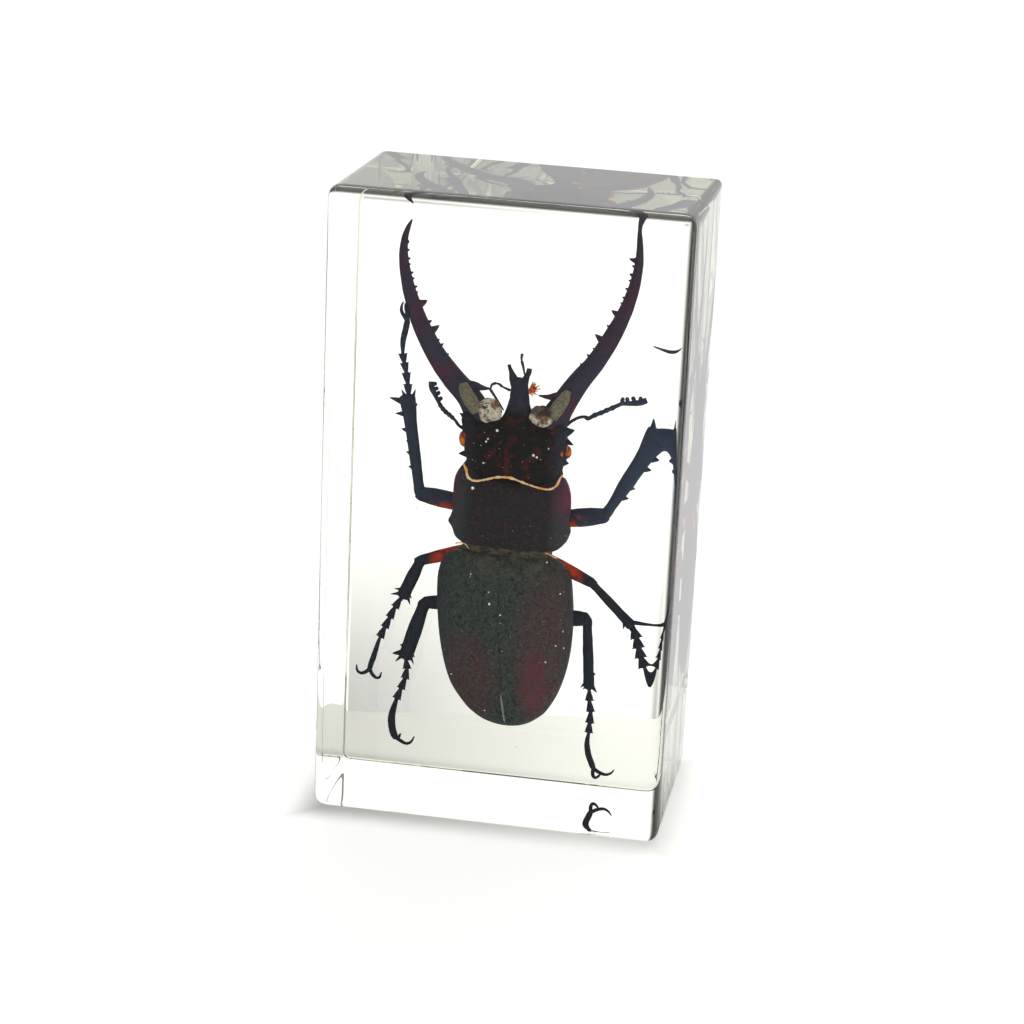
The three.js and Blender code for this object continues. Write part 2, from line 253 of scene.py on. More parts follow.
def newMaterial(name):
    material = bpy.data.materials.new(name)
    material.use_nodes = True
    tree = material.node_tree
    tree.nodes.clear()
    shader = addNode(tree, "BsdfPrincipled")
    output = addNode(tree, "OutputMaterial", {"Surface": shader.outputs["BSDF"]})
    return material, tree, shader, output


def addBump(shader, height, strength, distance):
    inputs = {"Height": height, "Strength": strength, "Distance": distance}
    setInput(shader.inputs["Normal"], addNode(shader.id_data, "Bump", inputs).outputs["Normal"])


grainSockets = (   # key in a shell's dictionary, name, kind and value
    ("shell", "Shell Colour", "NodeSocketColor", (0.02, 0.02, 0.02, 1)),
    ("tint", "Tint Colour", "NodeSocketColor", (0.1, 0.01, 0.02, 1)),
    ("speck", "Speck Colour", "NodeSocketColor", (0.1, 0.1, 0.1, 1)),
    ("tintShare", "Tint Share", "NodeSocketFloat", 0.3),
    ("tintFrom", "Tint From", "NodeSocketFloat", 0.35),
    ("speckShare", "Speck Share", "NodeSocketFloat", 0.3),
    ("grainSize", "Grain Size", "NodeSocketFloat", 1500.0),
    ("patchSize", "Patch Size", "NodeSocketFloat", 150.0),
)


def buildShellGrain():
    # Fine punctures, dull and shiny patches and a second colour that shows through in places
    group = bpy.data.node_groups.new("shellGrain", "ShaderNodeTree")
    for _, label, kind, value in grainSockets:
        socket = group.interface.new_socket(name=label, in_out="INPUT", socket_type=kind)
        socket.default_value = value
    for label, kind in (("Colour", "NodeSocketColor"), ("Roughness", "NodeSocketFloat"),
                        ("Height", "NodeSocketFloat")):
        group.interface.new_socket(name=label, in_out="OUTPUT", socket_type=kind)
    given = group.nodes.new("NodeGroupInput").outputs
    result = group.nodes.new("NodeGroupOutput").inputs
    place = addNode(group, "TexCoord").outputs["Object"]
    pits = addNode(group, "TexVoronoi",
                   {"Vector": place, "Scale": given["Grain Size"], "Randomness": 0.9})
    patches = cloudsOn(place, given["Patch Size"], 6, 0.6)
    fine = cloudsOn(place, given["Grain Size"], 4)

    tint = rampOn(patches, given["Tint From"], 0.75)
    tint = mathNode("MULTIPLY", tint, given["Tint Share"], True)
    tinted = mixColour(tint, given["Shell Colour"], given["Tint Colour"])
    # Pale specks in the grain: partly dust, partly painted glints of broken light
    specks = rampOn(fine, 0.55, 0.78, eased=False)
    specks = mathNode("MULTIPLY", specks, given["Speck Share"], True)
    setInput(result["Colour"], mixColour(specks, tinted, given["Speck Colour"]))
    setInput(result["Roughness"], rampOn(patches, 0.0, 1.0, 0.38, 0.62, eased=False))
    pitShape = rampOn(pits.outputs["Distance"], 0.1, 0.45, eased=False)
    setInput(result["Height"], mathNode("ADD", times(fine, 0.35), pitShape))
    return group


shellGrain = buildShellGrain()


def shellMaterial(look):
    # One kind of insect shell: its own colours in the shared grain
    material, tree, shader, _ = newMaterial(look["name"])
    inputs = {label: look[key] for key, label, _, _ in grainSockets}
    # the group comes first, because its sockets are there only once it is set
    grain = addNode(tree, "Group", inputs, node_tree=shellGrain).outputs
    setInput(shader.inputs["Roughness"], grain["Roughness"])
    addBump(shader, grain["Height"], look["bump"], 0.0001)
    shader.inputs["Specular IOR Level"].default_value = look["gloss"]
    shader.inputs["IOR"].default_value = 1.5
    return material, tree, shader, grain["Colour"]


# ---- the clear block ----

block = {
    "size": (60.0, 36.0, 108.5),
    "frontEdge": 3.4,      # rounding round the front face
    "rearEdge": 0.6,       # and round the crisper rear face
    "frontCorner": 2.9,    # rounding of the four edges that run back, at the front
    "rearCorner": 1.5,     # and at the rear
    "profile": 0.63,       # squarer than a quarter circle
    "steps": 22,
    "ior": 1.54,
    "absorbColour": (0.877, 0.892, 0.60),
    "absorbDensity": 6.5,  # per metre
}


def makeBlock():
    material, tree, shader, output = newMaterial("castResin")
    shader.inputs["Base Color"].default_value = (1, 1, 1, 1)
    shader.inputs["Roughness"].default_value = 0.0
    shader.inputs["Transmission Weight"].default_value = 1.0
    shader.inputs["IOR"].default_value = block["ior"]
    absorb = addNode(tree, "VolumeAbsorption")
    absorb.inputs["Color"].default_value = (*block["absorbColour"], 1)
    absorb.inputs["Density"].default_value = block["absorbDensity"]
    setInput(output.inputs["Volume"], absorb.outputs["Volume"])

    bm = bmesh.new()
    bmesh.ops.create_cube(bm, size=1.0)
    bmesh.ops.scale(bm, vec=block["size"], verts=bm.verts)
    bmesh.ops.translate(bm, vec=(0, 0, block["size"][2] / 2), verts=bm.verts)
    bmesh.ops.bevel(bm, geom=bm.edges, offset=block["frontEdge"], offset_type="OFFSET",
                    affect="EDGES", segments=block["steps"], profile=block["profile"], material=-1)
    # The even rounding is drawn in to the size that each edge has. How far a point lies from the
    # corner of its outline tells how much of each edge is in it
    middle = Vector((0, 0, block["size"][2] / 2))
    half = Vector(block["size"]) / 2
    power = -math.log(2) / math.log(math.sqrt(block["profile"]))
    for v in bm.verts:
        offset = v.co - middle
        insets = [(half[k] - abs(offset[k])) / block["frontEdge"] for k in range(3)]
        out = [max(1 - insets[k], 0.0) for k in (0, 2)]
        reach = min((out[0] ** power + out[1] ** power) ** (1 / power), 1.0)
        end = "front" if offset.y < 0 else "rear"
        rim, corner = block[end + "Edge"], block[end + "Corner"]
        insets = [rim * (1 - reach) + corner * (reach - out[0]), rim * insets[1],
                  rim * (1 - reach) + corner * (reach - out[1])]
        v.co = middle + Vector([math.copysign(half[k] - insets[k], offset[k]) for k in range(3)])
    piece = makePiece("resinBlock", bm, material, ("resin_front", "resin_back"))
    flatten = piece.modifiers.new("flatFaces", "WEIGHTED_NORMAL")
    flatten.weight = 100
    return piece


makeBlock()


# ---- wing cases ----

wingCases = {
    # z, x of the left and right edges, depth of the side edge, height of the dome above it
    "rows": [
        (12.65, 0.55, 0.85, 6.5, 0.1),
        (12.9, -1.3, 2.6, 6.5, 0.9),
        (13.5, -3.3, 4.3, 6.6, 1.9),
        (14.6, -5.2, 6.0, 6.7, 2.9),
        (16.0, -6.8, 7.5, 6.8, 3.8),
        (20.0, -9.6, 9.6, 6.9, 5.4),
        (26.0, -11.4, 11.1, 6.9, 6.6),
        (33.0, -12.35, 11.5, 6.9, 7.1),
        (39.0, -12.55, 11.05, 6.9, 6.7),
        (41.6, -12.1, 10.5, 6.9, 5.9),
        (43.2, -11.3, 9.4, 6.8, 4.9),
        (44.1, -9.9, 8.3, 6.6, 4.0),
        (44.6, -7.6, 7.0, 6.4, 3.3),
    ],
    # z, x of the seam where the two cases meet
    "seam": [(12.65, 0.7), (19.2, 0.0), (32.4, -0.9), (44.6, -1.2)],
    "seamDepth": 0.06,
    "seamWidth": 0.22,
    "underside": 0.9,
}


def alongTable(table, at):
    # Straight-line reading of a table of (place, value)
    for (z0, x0), (z1, x1) in zip(table, table[1:]):
        if at <= z1:
            return mix(x0, x1, (at - z0) / (z1 - z0))
    return table[-1][1]


def makeWingCase(name, side, material):
    rows = [(left, right, z, edge, dome) for z, left, right, edge, dome in wingCases["rows"]]
    marks = [row[2] - rows[0][2] for row in rows]
    length = marks[-1]

    def place(turn, run):
        # The run is eased, so that both ends get more rings
        at = length * (0.5 - 0.5 * math.cos(math.pi * run))
        left, right, z, edge, dome = rowAt(rows, marks, at)
        seamX = alongTable(wingCases["seam"], z)
        reach = (right - seamX) if side > 0 else (seamX - left)
        trough = min(wingCases["seamDepth"], dome * 0.4)
        if turn <= 0.75:
            angle = (turn / 0.75) ** 1.5 * math.pi / 2
            out = math.sin(angle)
            y = edge - dome * math.cos(angle) ** 0.85
            y += trough * math.exp(-(reach * out / wingCases["seamWidth"]) ** 2)
            y -= 0.12 * math.exp(-((out - 0.985) / 0.012) ** 2)   # the raised rim
            return Vector((seamX + side * (reach * out + 0.02), y, z))
        back = (turn - 0.75) / 0.25
        out = math.cos(back * math.pi / 2)
        y = edge + wingCases["underside"] * math.sin(math.pi * back) * min(reach / 6, 1)
        if back > 0.999:
            y = edge - dome + trough
        return Vector((seamX + side * (reach * out + 0.02), y, z))

    bm = bmesh.new()
    rollGrid(bm, 72, 84, place)
    bmesh.ops.holes_fill(bm, edges=bm.edges, sides=0)
    makePiece(name, bm, material, ("stag_beetle",), carries=True)


wingShell = {
    "name": "wingShell",
    "shell": (0.076, 0.102, 0.098),
    "tint": (0.016, 0.020, 0.020),
    "speck": (0.36, 0.42, 0.38),
    "side": (0.26, 0.050, 0.085),
    "waist": (0.190, 0.172, 0.132),
    "slate": (0.060, 0.070, 0.100),
    "seamLine": (0.60, 0.66, 0.58),
    # where red shows through, low on the right, left and right: centre and reach in metres
    "redPatches": ((0.0056, 0.0222, 0.0034, 0.0100), (-0.0062, 0.0215, 0.0070, 0.0120),
                   (0.0085, 0.0290, 0.0085, 0.0190)),
    "tintFrom": 0.4,
    "tintShare": 1.0,
    "speckShare": 0.5,
    "grainSize": 3600.0,
    "patchSize": 1500.0,
    "bump": 0.25,
    "gloss": 0.12,
}


def makeWingMaterial():
    material, tree, shader, grain = shellMaterial(wingShell)
    place, x, y, z = objectPlace(tree)
    aside = sizeOf(x)

    def redPatch(centreX, centreZ, reachX, reachZ):
        acrossX = mathNode("DIVIDE", minus(x, centreX), reachX)
        acrossZ = mathNode("DIVIDE", minus(z, centreZ), reachZ)
        return rampOn(mathNode("ADD", times(acrossX, acrossX), times(acrossZ, acrossZ)), 1.0, 0.1)

    # Dark red shows through towards the sides, and most of all low on the right
    lowRight, left, right = [redPatch(*patch) for patch in wingShell["redPatches"]]
    patchy = rampOn(cloudsOn(place, 1500, 8, 0.75), 0.28, 0.68)
    red = times(patchy, larger(times(larger(left, right), 0.45), lowRight))
    colour = mixColour(red, grain, wingShell["side"])
    # Olive-grey down round the waist, fading out under the pronotum
    waist = times(rampOn(z, 0.0392, 0.0432), rampOn(aside, 0.0095, 0.0045))
    down = rampOn(cloudsOn(place, 620, 7, 0.7), 0.40, 0.66)
    colour = mixColour(times(waist, down), colour, wingShell["waist"])
    # The edge of the case beside the seam is pale near the tip
    seamX = rampOn(z, 0.01265, 0.0192, 0.0007, 0.0, eased=False)
    line = times(rampOn(sizeOf(minus(x, seamX)), 0.00020, 0.00006), rampOn(z, 0.0207, 0.0182))
    line = times(line, rampOn(z, 0.0134, 0.0146))
    colour = mixColour(line, colour, wingShell["seamLine"])
    # Down the sides the shell turns slate-blue
    colour = mixColour(times(rampOn(aside, 0.0085, 0.0125), 0.7), colour, wingShell["slate"])
    setInput(shader.inputs["Base Color"], colour)
    return material


wingMaterial = makeWingMaterial()
makeWingCase("wingCaseLeft", -1, wingMaterial)
makeWingCase("wingCaseRight", 1, wingMaterial)


# ---- body under the wing cases ----

trunk = {
    # x, y, z, half width, thickness to the back, thickness to the front
    "abdomen": [
        (0.85, 7.4, 13.6, 1.6, 0.5, 0.6),
        (0.7, 7.4, 15.0, 4.4, 1.5, 1.2),
        (0.5, 7.3, 18.0, 7.4, 2.4, 1.6),
        (0.2, 7.2, 24.0, 10.1, 3.1, 1.8),
        (-0.1, 7.1, 31.0, 11.2, 3.5, 1.8),
        (-0.4, 7.0, 38.0, 11.0, 3.8, 1.8),
        (-0.6, 7.0, 42.5, 9.2, 3.7, 1.8),
        (-0.3, 6.8, 44.4, 7.4, 3.5, 2.9),
        (-0.1, 6.6, 45.6, 7.3, 3.4, 3.4),
        (0.0, 6.6, 47.4, 7.2, 3.4, 3.3),
        (0.0, 6.6, 49.0, 6.4, 3.4, 2.6),
    ],
    "segmentEnds": (15.8, 19.2, 22.8, 26.4, 30.2),   # heights of the belly's grooves
    "grooveDepth": 0.45,
    "neck": [(0.1, 5.8, 57.0, 5.8, 2.6, 2.0), (0.1, 5.8, 59.5, 6.4, 2.8, 2.2),
             (0.1, 5.8, 61.0, 6.6, 2.8, 2.0)],
}


def makeTrunk(material):
    bm = bmesh.new()
    rows = smoothRows(trunk["abdomen"], 120)
    for row in rows:
        groove = sum(math.exp(-((row[2] - end) / 0.22) ** 2) for end in trunk["segmentEnds"])
        row[4] -= min(groove, 1.0) * trunk["grooveDepth"]
    verts = growLimb(bm, closeEnds(rows), 64, 2.2)
    for v in verts:   # the chest has a keel between the middle legs and a seam before the belly
        if v.co.y > 8 and v.co.z > 31:
            v.co.y += 0.5 * math.exp(-((v.co.x + 0.3) / 1.2) ** 2) * smoothStep(31, 36, v.co.z)
            v.co.y -= 0.5 * math.exp(-((v.co.z - 34.0 - abs(v.co.x) * 0.12) / 0.3) ** 2)
    growLimb(bm, closeEnds(smoothRows(trunk["neck"], 12)), 40)
    roughen(bm.verts, 1.6, 0.05, 2)
    makePiece("trunk", bm, material, ("stag_beetle",), carries=True)


bodyShell = {
    "name": "bodyShell",
    "shell": (0.030, 0.032, 0.035),
    "tint": (0.150, 0.020, 0.060),
    "speck": (0.20, 0.19, 0.20),
    "tintFrom": 0.48,
    "tintShare": 0.7,
    "speckShare": 0.4,
    "grainSize": 3600.0,
    "patchSize": 1100.0,
    "bump": 0.25,
    "gloss": 0.12,
    "side": (0.24, 0.060, 0.130),
    "slate": (0.095, 0.105, 0.135),
    "waist": (0.200, 0.165, 0.110),
}


def makeBodyMaterial():
    material, tree, shader, grain = shellMaterial(bodyShell)
    place, x, y, z = objectPlace(tree)
    # The thin side flanges of the pronotum let a dark red through, more on the right
    left = times(rampOn(x, -0.0080, -0.0100), 0.6)
    red = times(rampOn(z, 0.0500, 0.0555), larger(left, rampOn(x, 0.0065, 0.0098)))
    colour = mixColour(red, grain, bodyShell["side"])
    slate = times(times(rampOn(sizeOf(x), 0.0060, 0.0095), 0.70), minus(1.0, red))
    colour = mixColour(slate, colour, bodyShell["slate"])
    # The waist between pronotum and wing cases is olive and dusty
    waist = times(rampOn(z, 0.0405, 0.0425), rampOn(z, 0.0464, 0.0459))
    dust = rampOn(cloudsOn(place, 900, 5), 0.3, 0.62)
    colour = mixColour(times(waist, dust), colour, bodyShell["waist"])
    setInput(shader.inputs["Base Color"], colour)
    return material


bodyMaterial = makeBodyMaterial()
makeTrunk(bodyMaterial)


# ---- pronotum ----

pronotum = {
    # x, y, z, half width, thickness to the back, thickness to the front
    "rows": [
        (-0.2, 6.4, 46.45, 6.4, 2.6, 2.2),
        (-0.25, 6.0, 46.6, 8.0, 3.3, 3.3),
        (-0.25, 5.8, 47.0, 9.2, 3.9, 4.0),
        (-0.25, 5.6, 47.8, 9.8, 4.2, 4.4),
        (-0.2, 5.5, 49.6, 10.4, 4.5, 4.7),
        (-0.15, 5.5, 51.6, 10.3, 4.6, 4.7),
        (-0.1, 5.5, 54.0, 10.2, 4.6, 4.7),
        (-0.1, 5.5, 56.4, 10.05, 4.5, 4.3),
        (-0.05, 5.6, 57.9, 9.7, 4.3, 3.6),
        (0.0, 5.8, 59.0, 9.1, 3.8, 2.8),
        (0.05, 6.0, 59.8, 8.3, 3.2, 2.0),
        (0.1, 6.2, 60.1, 7.4, 2.6, 1.4),
    ],
    "furrowDepth": 0.15,
    "rimHeight": 0.25,
    "frontHollow": 1.3,   # how far the middle of the front edge is set back for the head
    "sideTooth": (0.35, 0.15),   # left and right
}


def makePronotum(material):
    bm = bmesh.new()
    verts = growLimb(bm, closeEnds(smoothRows(pronotum["rows"], 72)), 112, 2.25)
    for v in verts:
        x, y, z = v.co
        front = smoothStep(5.6, 4.2, y)
        furrow = math.exp(-(x / 0.5) ** 2) * smoothStep(59, 55, z)
        v.co.y += front * pronotum["furrowDepth"] * furrow
        edge = smoothStep(9.2, 9.9, abs(x)) * smoothStep(6.2, 5.6, y)
        v.co.y -= edge * pronotum["rimHeight"]
        hollow = math.exp(-(x / 6.6) ** 6) * smoothStep(56.4, 59.8, z)
        v.co.z -= pronotum["frontHollow"] * hollow
        v.co.y += 0.9 * hollow * front
        tooth = math.exp(-((z - 49.6) / 0.6) ** 2) * smoothStep(9.4, 10.4, abs(x))
        v.co.x += tooth * (pronotum["sideTooth"][1] if x > 0 else -pronotum["sideTooth"][0])
        notch = 0.22 * math.exp(-((z - 51.6) / 1.0) ** 2) * smoothStep(9, 10.2, abs(x))
        v.co.x -= math.copysign(notch, x)
    roughen(verts, 2.2, 0.10, 5)
    makePiece("pronotum", bm, material, ("stag_beetle",), carries=True)


makePronotum(bodyMaterial)


# ---- head ----

head = {
    "rows": [
        (0.1, 6.0, 57.1, 6.4, 2.2, 2.0),
        (0.1, 5.9, 57.6, 7.4, 2.7, 2.8),
        (0.1, 5.8, 59.2, 7.95, 3.1, 3.3),
        (0.1, 5.8, 60.8, 8.4, 3.3, 3.5),
        (0.1, 5.8, 63.0, 8.9, 3.4, 3.6),
        (0.1, 5.8, 64.8, 8.8, 3.3, 3.4),
        (0.1, 5.9, 66.4, 8.2, 3.1, 2.9),
        (0.15, 6.0, 67.5, 7.2, 2.7, 2.2),
        (0.2, 6.1, 68.3, 5.2, 2.0, 1.5),
    ],
    "corners": [   # the two front corners beside the jaws
        [(-6.6, 5.9, 64.6, 2.2, 2.2, 2.4), (-7.5, 5.9, 66.6, 1.8, 1.9, 2.2),
         (-8.1, 6.0, 68.0, 1.4, 1.5, 1.7), (-8.5, 6.0, 69.1, 0.9, 1.0, 1.1)],
        [(6.6, 5.9, 64.8, 2.0, 2.2, 2.4), (7.3, 5.9, 66.6, 1.6, 1.9, 2.2),
         (7.4, 6.0, 67.9, 1.15, 1.5, 1.6), (7.5, 6.0, 68.6, 0.75, 1.0, 1.0)],
    ],
    # root, tip and radius of the teeth down the sides
    "teeth": [
        ((-8.0, 5.8, 67.6), (-9.9, 5.8, 68.7), 0.8), ((-8.2, 6.0, 66.0), (-9.7, 6.0, 66.3), 1.0),
        ((-7.9, 5.6, 61.7), (-9.7, 5.4, 61.6), 0.8), ((-7.6, 5.6, 60.2), (-8.3, 5.5, 59.4), 0.8),
        ((8.0, 5.8, 66.9), (10.0, 5.8, 67.6), 1.15), ((8.0, 5.8, 65.7), (10.0, 5.8, 64.9), 0.85),
        ((8.2, 5.6, 61.8), (9.3, 5.4, 61.7), 0.8), ((7.8, 5.6, 60.2), (8.4, 5.5, 59.6), 0.7),
    ],
    "dents": [((-5.2, 65.4), 1.8, 0.5), ((5.4, 65.3), 1.8, 0.5), ((0.2, 66.8), 2.4, 0.5),
              ((-3.4, 61.4), 2.0, 0.3), ((3.8, 61.6), 2.2, 0.3)],
}

clypeus = {
    "shaft": [
        (0.3, 5.6, 65.6, 3.8, 1.6, 2.2), (0.35, 5.5, 67.6, 3.3, 1.4, 1.8),
        (0.4, 5.4, 69.2, 2.6, 1.1, 1.4), (0.4, 5.3, 70.6, 2.1, 0.9, 1.1),
        (0.4, 5.2, 72.4, 1.65, 0.75, 0.9), (0.35, 5.2, 74.2, 1.5, 0.7, 0.8),
        (0.3, 5.2, 75.2, 1.55, 0.65, 0.7), (0.3, 5.2, 75.9, 1.3, 0.5, 0.5),
    ],
    "prongs": [[(-0.45, 5.2, 74.6, 0.85, 0.6), (-0.8, 5.2, 75.7, 0.72, 0.5),
                (-1.15, 5.2, 76.6, 0.46, 0.42), (-1.45, 5.2, 77.4, 0.38, 0.38),
                (-1.6, 5.2, 78.0, 0.36, 0.36)],
               [(1.0, 5.2, 74.6, 0.85, 0.6), (1.3, 5.2, 75.6, 0.66, 0.5),
                (1.6, 5.2, 76.4, 0.5, 0.42), (1.8, 5.2, 77.1, 0.48, 0.42),
                (1.9, 5.2, 77.6, 0.42, 0.38)]],
}


def makeHead(material):
    bm = bmesh.new()
    verts = growLimb(bm, closeEnds(smoothRows(head["rows"], 56)), 88, 2.4)
    for v in verts:
        if v.co.y > 5:
            continue
        for (x, z), reach, depth in head["dents"]:
            v.co.y += depth * math.exp(-((v.co.x - x) ** 2 + (v.co.z - z) ** 2) / reach ** 2)
    for corner in head["corners"]:
        growLimb(bm, closeEnds(smoothRows(corner, 14)), 32)
    for root, tip, radius in head["teeth"]:
        growThorn(bm, root, tip, radius, sides=12)
    growLimb(bm, closeEnds(smoothRows(clypeus["shaft"], 30)), 40, 2.4)
    for prong in clypeus["prongs"]:
        growLimb(bm, closeEnds(smoothRows(prong, 12)), 16)
    roughen(bm.verts, 1.1, 0.14, 8)
    makePiece("head", bm, material, ("stag_beetle",), carries=True)


headShell = {
    "name": "headShell",
    "shell": (0.012, 0.011, 0.012),
    "tint": (0.200, 0.020, 0.016),
    "speck": (0.10, 0.09, 0.10),
    "flank": (0.055, 0.062, 0.115),
    "tintFrom": 0.5,
    "tintShare": 0.8,
    "speckShare": 0.3,
    "grainSize": 3000.0,
    "patchSize": 520.0,
    "bump": 0.4,
    "gloss": 0.15,
}


def makeHeadMaterial():
    material, tree, shader, grain = shellMaterial(headShell)
    place, x, y, z = objectPlace(tree)
    # The flanks and the clypeus are a little bluer and paler than the crown
    outward = larger(rampOn(x, 0.0055, 0.0085), times(rampOn(x, -0.0055, -0.0085), 0.55))
    flank = times(larger(outward, rampOn(z, 0.0690, 0.0715)), 0.75)
    setInput(shader.inputs["Base Color"], mixColour(flank, grain, headShell["flank"]))
    return material


headMaterial = makeHeadMaterial()
makeHead(headMaterial)


# ---- jaws ----

jaws = {
    # x, y, z and half width from root to tip
    "left": [
        (-5.4, 6.8, 65.6, 2.6), (-6.6, 6.8, 68.4, 2.5), (-8.4, 6.9, 71.4, 2.15),
        (-11.6, 7.3, 74.6, 1.95), (-14.6, 7.5, 78.4, 1.7), (-17.2, 7.7, 83.0, 1.5),
        (-19.2, 7.8, 88.0, 1.18), (-20.5, 7.9, 93.4, 0.86), (-20.6, 8.0, 97.2, 0.62),
        (-20.0, 8.0, 99.6, 0.38), (-19.4, 8.0, 100.9, 0.1)],
    "right": [
        (5.2, 6.8, 65.8, 2.6), (6.2, 6.8, 68.6, 2.5), (7.9, 6.9, 72.0, 2.1),
        (10.2, 7.3, 75.8, 1.85), (12.8, 7.5, 79.4, 1.62), (15.4, 7.7, 84.2, 1.45),
        (17.5, 7.8, 89.2, 1.15), (18.8, 7.9, 94.4, 0.86), (19.05, 8.0, 98.6, 0.62),
        (18.85, 8.0, 101.8, 0.38), (18.7, 8.0, 104.0, 0.1)],
    "thickness": 0.78,
    # height of the tooth on the inner edge, its length, and its width at the root
    "leftTeeth": [
        (97.0, 0.25, 0.6), (95.4, 0.35, 0.35), (94.2, 0.40, 0.35), (93.0, 0.30, 0.3),
        (91.6, 0.42, 0.35), (90.4, 0.35, 0.35), (89.2, 0.45, 0.4), (88.2, 0.3, 0.3),
        (86.2, 1.25, 0.75), (83.2, 0.6, 0.45), (81.8, 1.35, 0.75), (80.0, 0.3, 0.4),
        (79.0, 0.5, 0.4), (77.2, 0.3, 0.4)],
    "rightTeeth": [
        (97.3, 1.0, 0.5), (95.9, 0.40, 0.35), (94.8, 0.5, 0.4), (93.4, 0.35, 0.3),
        (92.2, 0.45, 0.35), (90.6, 0.35, 0.35), (89.4, 0.3, 0.3), (87.3, 0.95, 0.6),
        (85.0, 0.4, 0.4), (82.8, 1.2, 0.7), (81.0, 0.3, 0.35), (79.6, 0.45, 0.4),
        (77.8, 0.25, 0.4)],
    # the long tooth near each root
    "leftRootTooth": [(-9.6, 6.7, 73.2, 1.2, 0.9), (-7.6, 6.5, 73.5, 0.85, 0.7),
                      (-6.0, 6.3, 73.3, 0.45, 0.45), (-4.7, 6.2, 73.3, 0.12, 0.12)],
    "rightRootTooth": [(8.4, 6.7, 73.0, 1.2, 0.9), (6.8, 6.5, 73.0, 0.8, 0.7),
                       (5.2, 6.3, 72.8, 0.45, 0.45), (3.5, 6.2, 72.9, 0.12, 0.12)],
}


def makeJaw(name, rows, teeth, rootTooth, inwardSign, material):
    bm = bmesh.new()
    line = smoothRows(rows, 80)
    limbRows = []
    for x, y, z, wide in line:
        thick = wide * jaws["thickness"] + 0.12
        limbRows.append((x, y, z, wide, thick))
    growLimb(bm, closeEnds(limbRows), 32, 2.1)
    frames = ringFrames(line)
    for height, length, width in teeth:
        i = min(range(len(line)), key=lambda k: abs(line[k][2] - height))
        centre, across, _ = frames[i]
        inward = across * (1 if across.x * inwardSign > 0 else -1)
        along = inward.cross(depthAxis)
        along *= 1 if along.z > 0 else -1
        root = centre + inward * (line[i][3] * 0.62)
        tip = centre + inward * (line[i][3] + length) + along * (length * 0.25)
        growThorn(bm, root, tip, width * 1.15, -along * 0.2 * length, sides=14, flat=0.9)
    growLimb(bm, closeEnds(smoothRows(rootTooth, 14)), 20)
    roughen(bm.verts, 2.6, 0.06, 11)
    makePiece(name, bm, material, ("stag_beetle",), carries=True)


jawShell = {
    "name": "jawShell",
    "shell": (0.070, 0.068, 0.125),
    "tint": (0.190, 0.030, 0.080),
    "speck": (0.16, 0.15, 0.20),
    "tintFrom": 0.38,
    "tintShare": 0.85,
    "speckShare": 0.15,
    "grainSize": 2600.0,
    "patchSize": 120.0,
    "bump": 0.12,
    "gloss": 0.15,
}


def makeJawMaterial():
    material, tree, shader, grain = shellMaterial(jawShell)
    setInput(shader.inputs["Base Color"], grain)
    return material


jawMaterial = makeJawMaterial()
makeJaw("jawLeft", jaws["left"], jaws["leftTeeth"], jaws["leftRootTooth"], 1, jawMaterial)
makeJaw("jawRight", jaws["right"], jaws["rightTeeth"], jaws["rightRootTooth"], -1, jawMaterial)


# ---- pale skin at the jaw joints ----

jawSkin = {
    # long grey-tan pads on the roots of the jaws
    "pads": [
        [(-9.3, 4.9, 74.1, 0.6, 0.5), (-8.9, 4.5, 73.0, 1.05, 0.7), (-8.0, 4.3, 71.6, 1.25, 0.8),
         (-7.2, 4.2, 70.4, 1.2, 0.8), (-6.6, 4.3, 69.4, 0.9, 0.6)],
        [(8.6, 4.9, 74.4, 0.55, 0.5), (8.1, 4.5, 73.2, 1.0, 0.7), (7.3, 4.3, 71.8, 1.15, 0.8),
         (6.6, 4.2, 70.5, 1.1, 0.8), (6.2, 4.3, 69.4, 0.85, 0.6)],
    ],
    # crumpled whitish skin between the jaws and the head: centre, then size
    "rounds": [((-4.55, 4.6, 69.8), (2.15, 1.2, 2.05)), ((4.3, 4.7, 69.6), (2.05, 1.1, 1.85))],
    "tan": (0.30, 0.27, 0.19),
    "tanDark": (0.20, 0.175, 0.12),
    "white": (0.92, 0.84, 0.72),
    "brown": (0.30, 0.13, 0.06),
    # painted shade for the lines of the folds and painted shadow on the right one
    "dark": (0.03, 0.015, 0.012),
    "glow": 0.10,
}


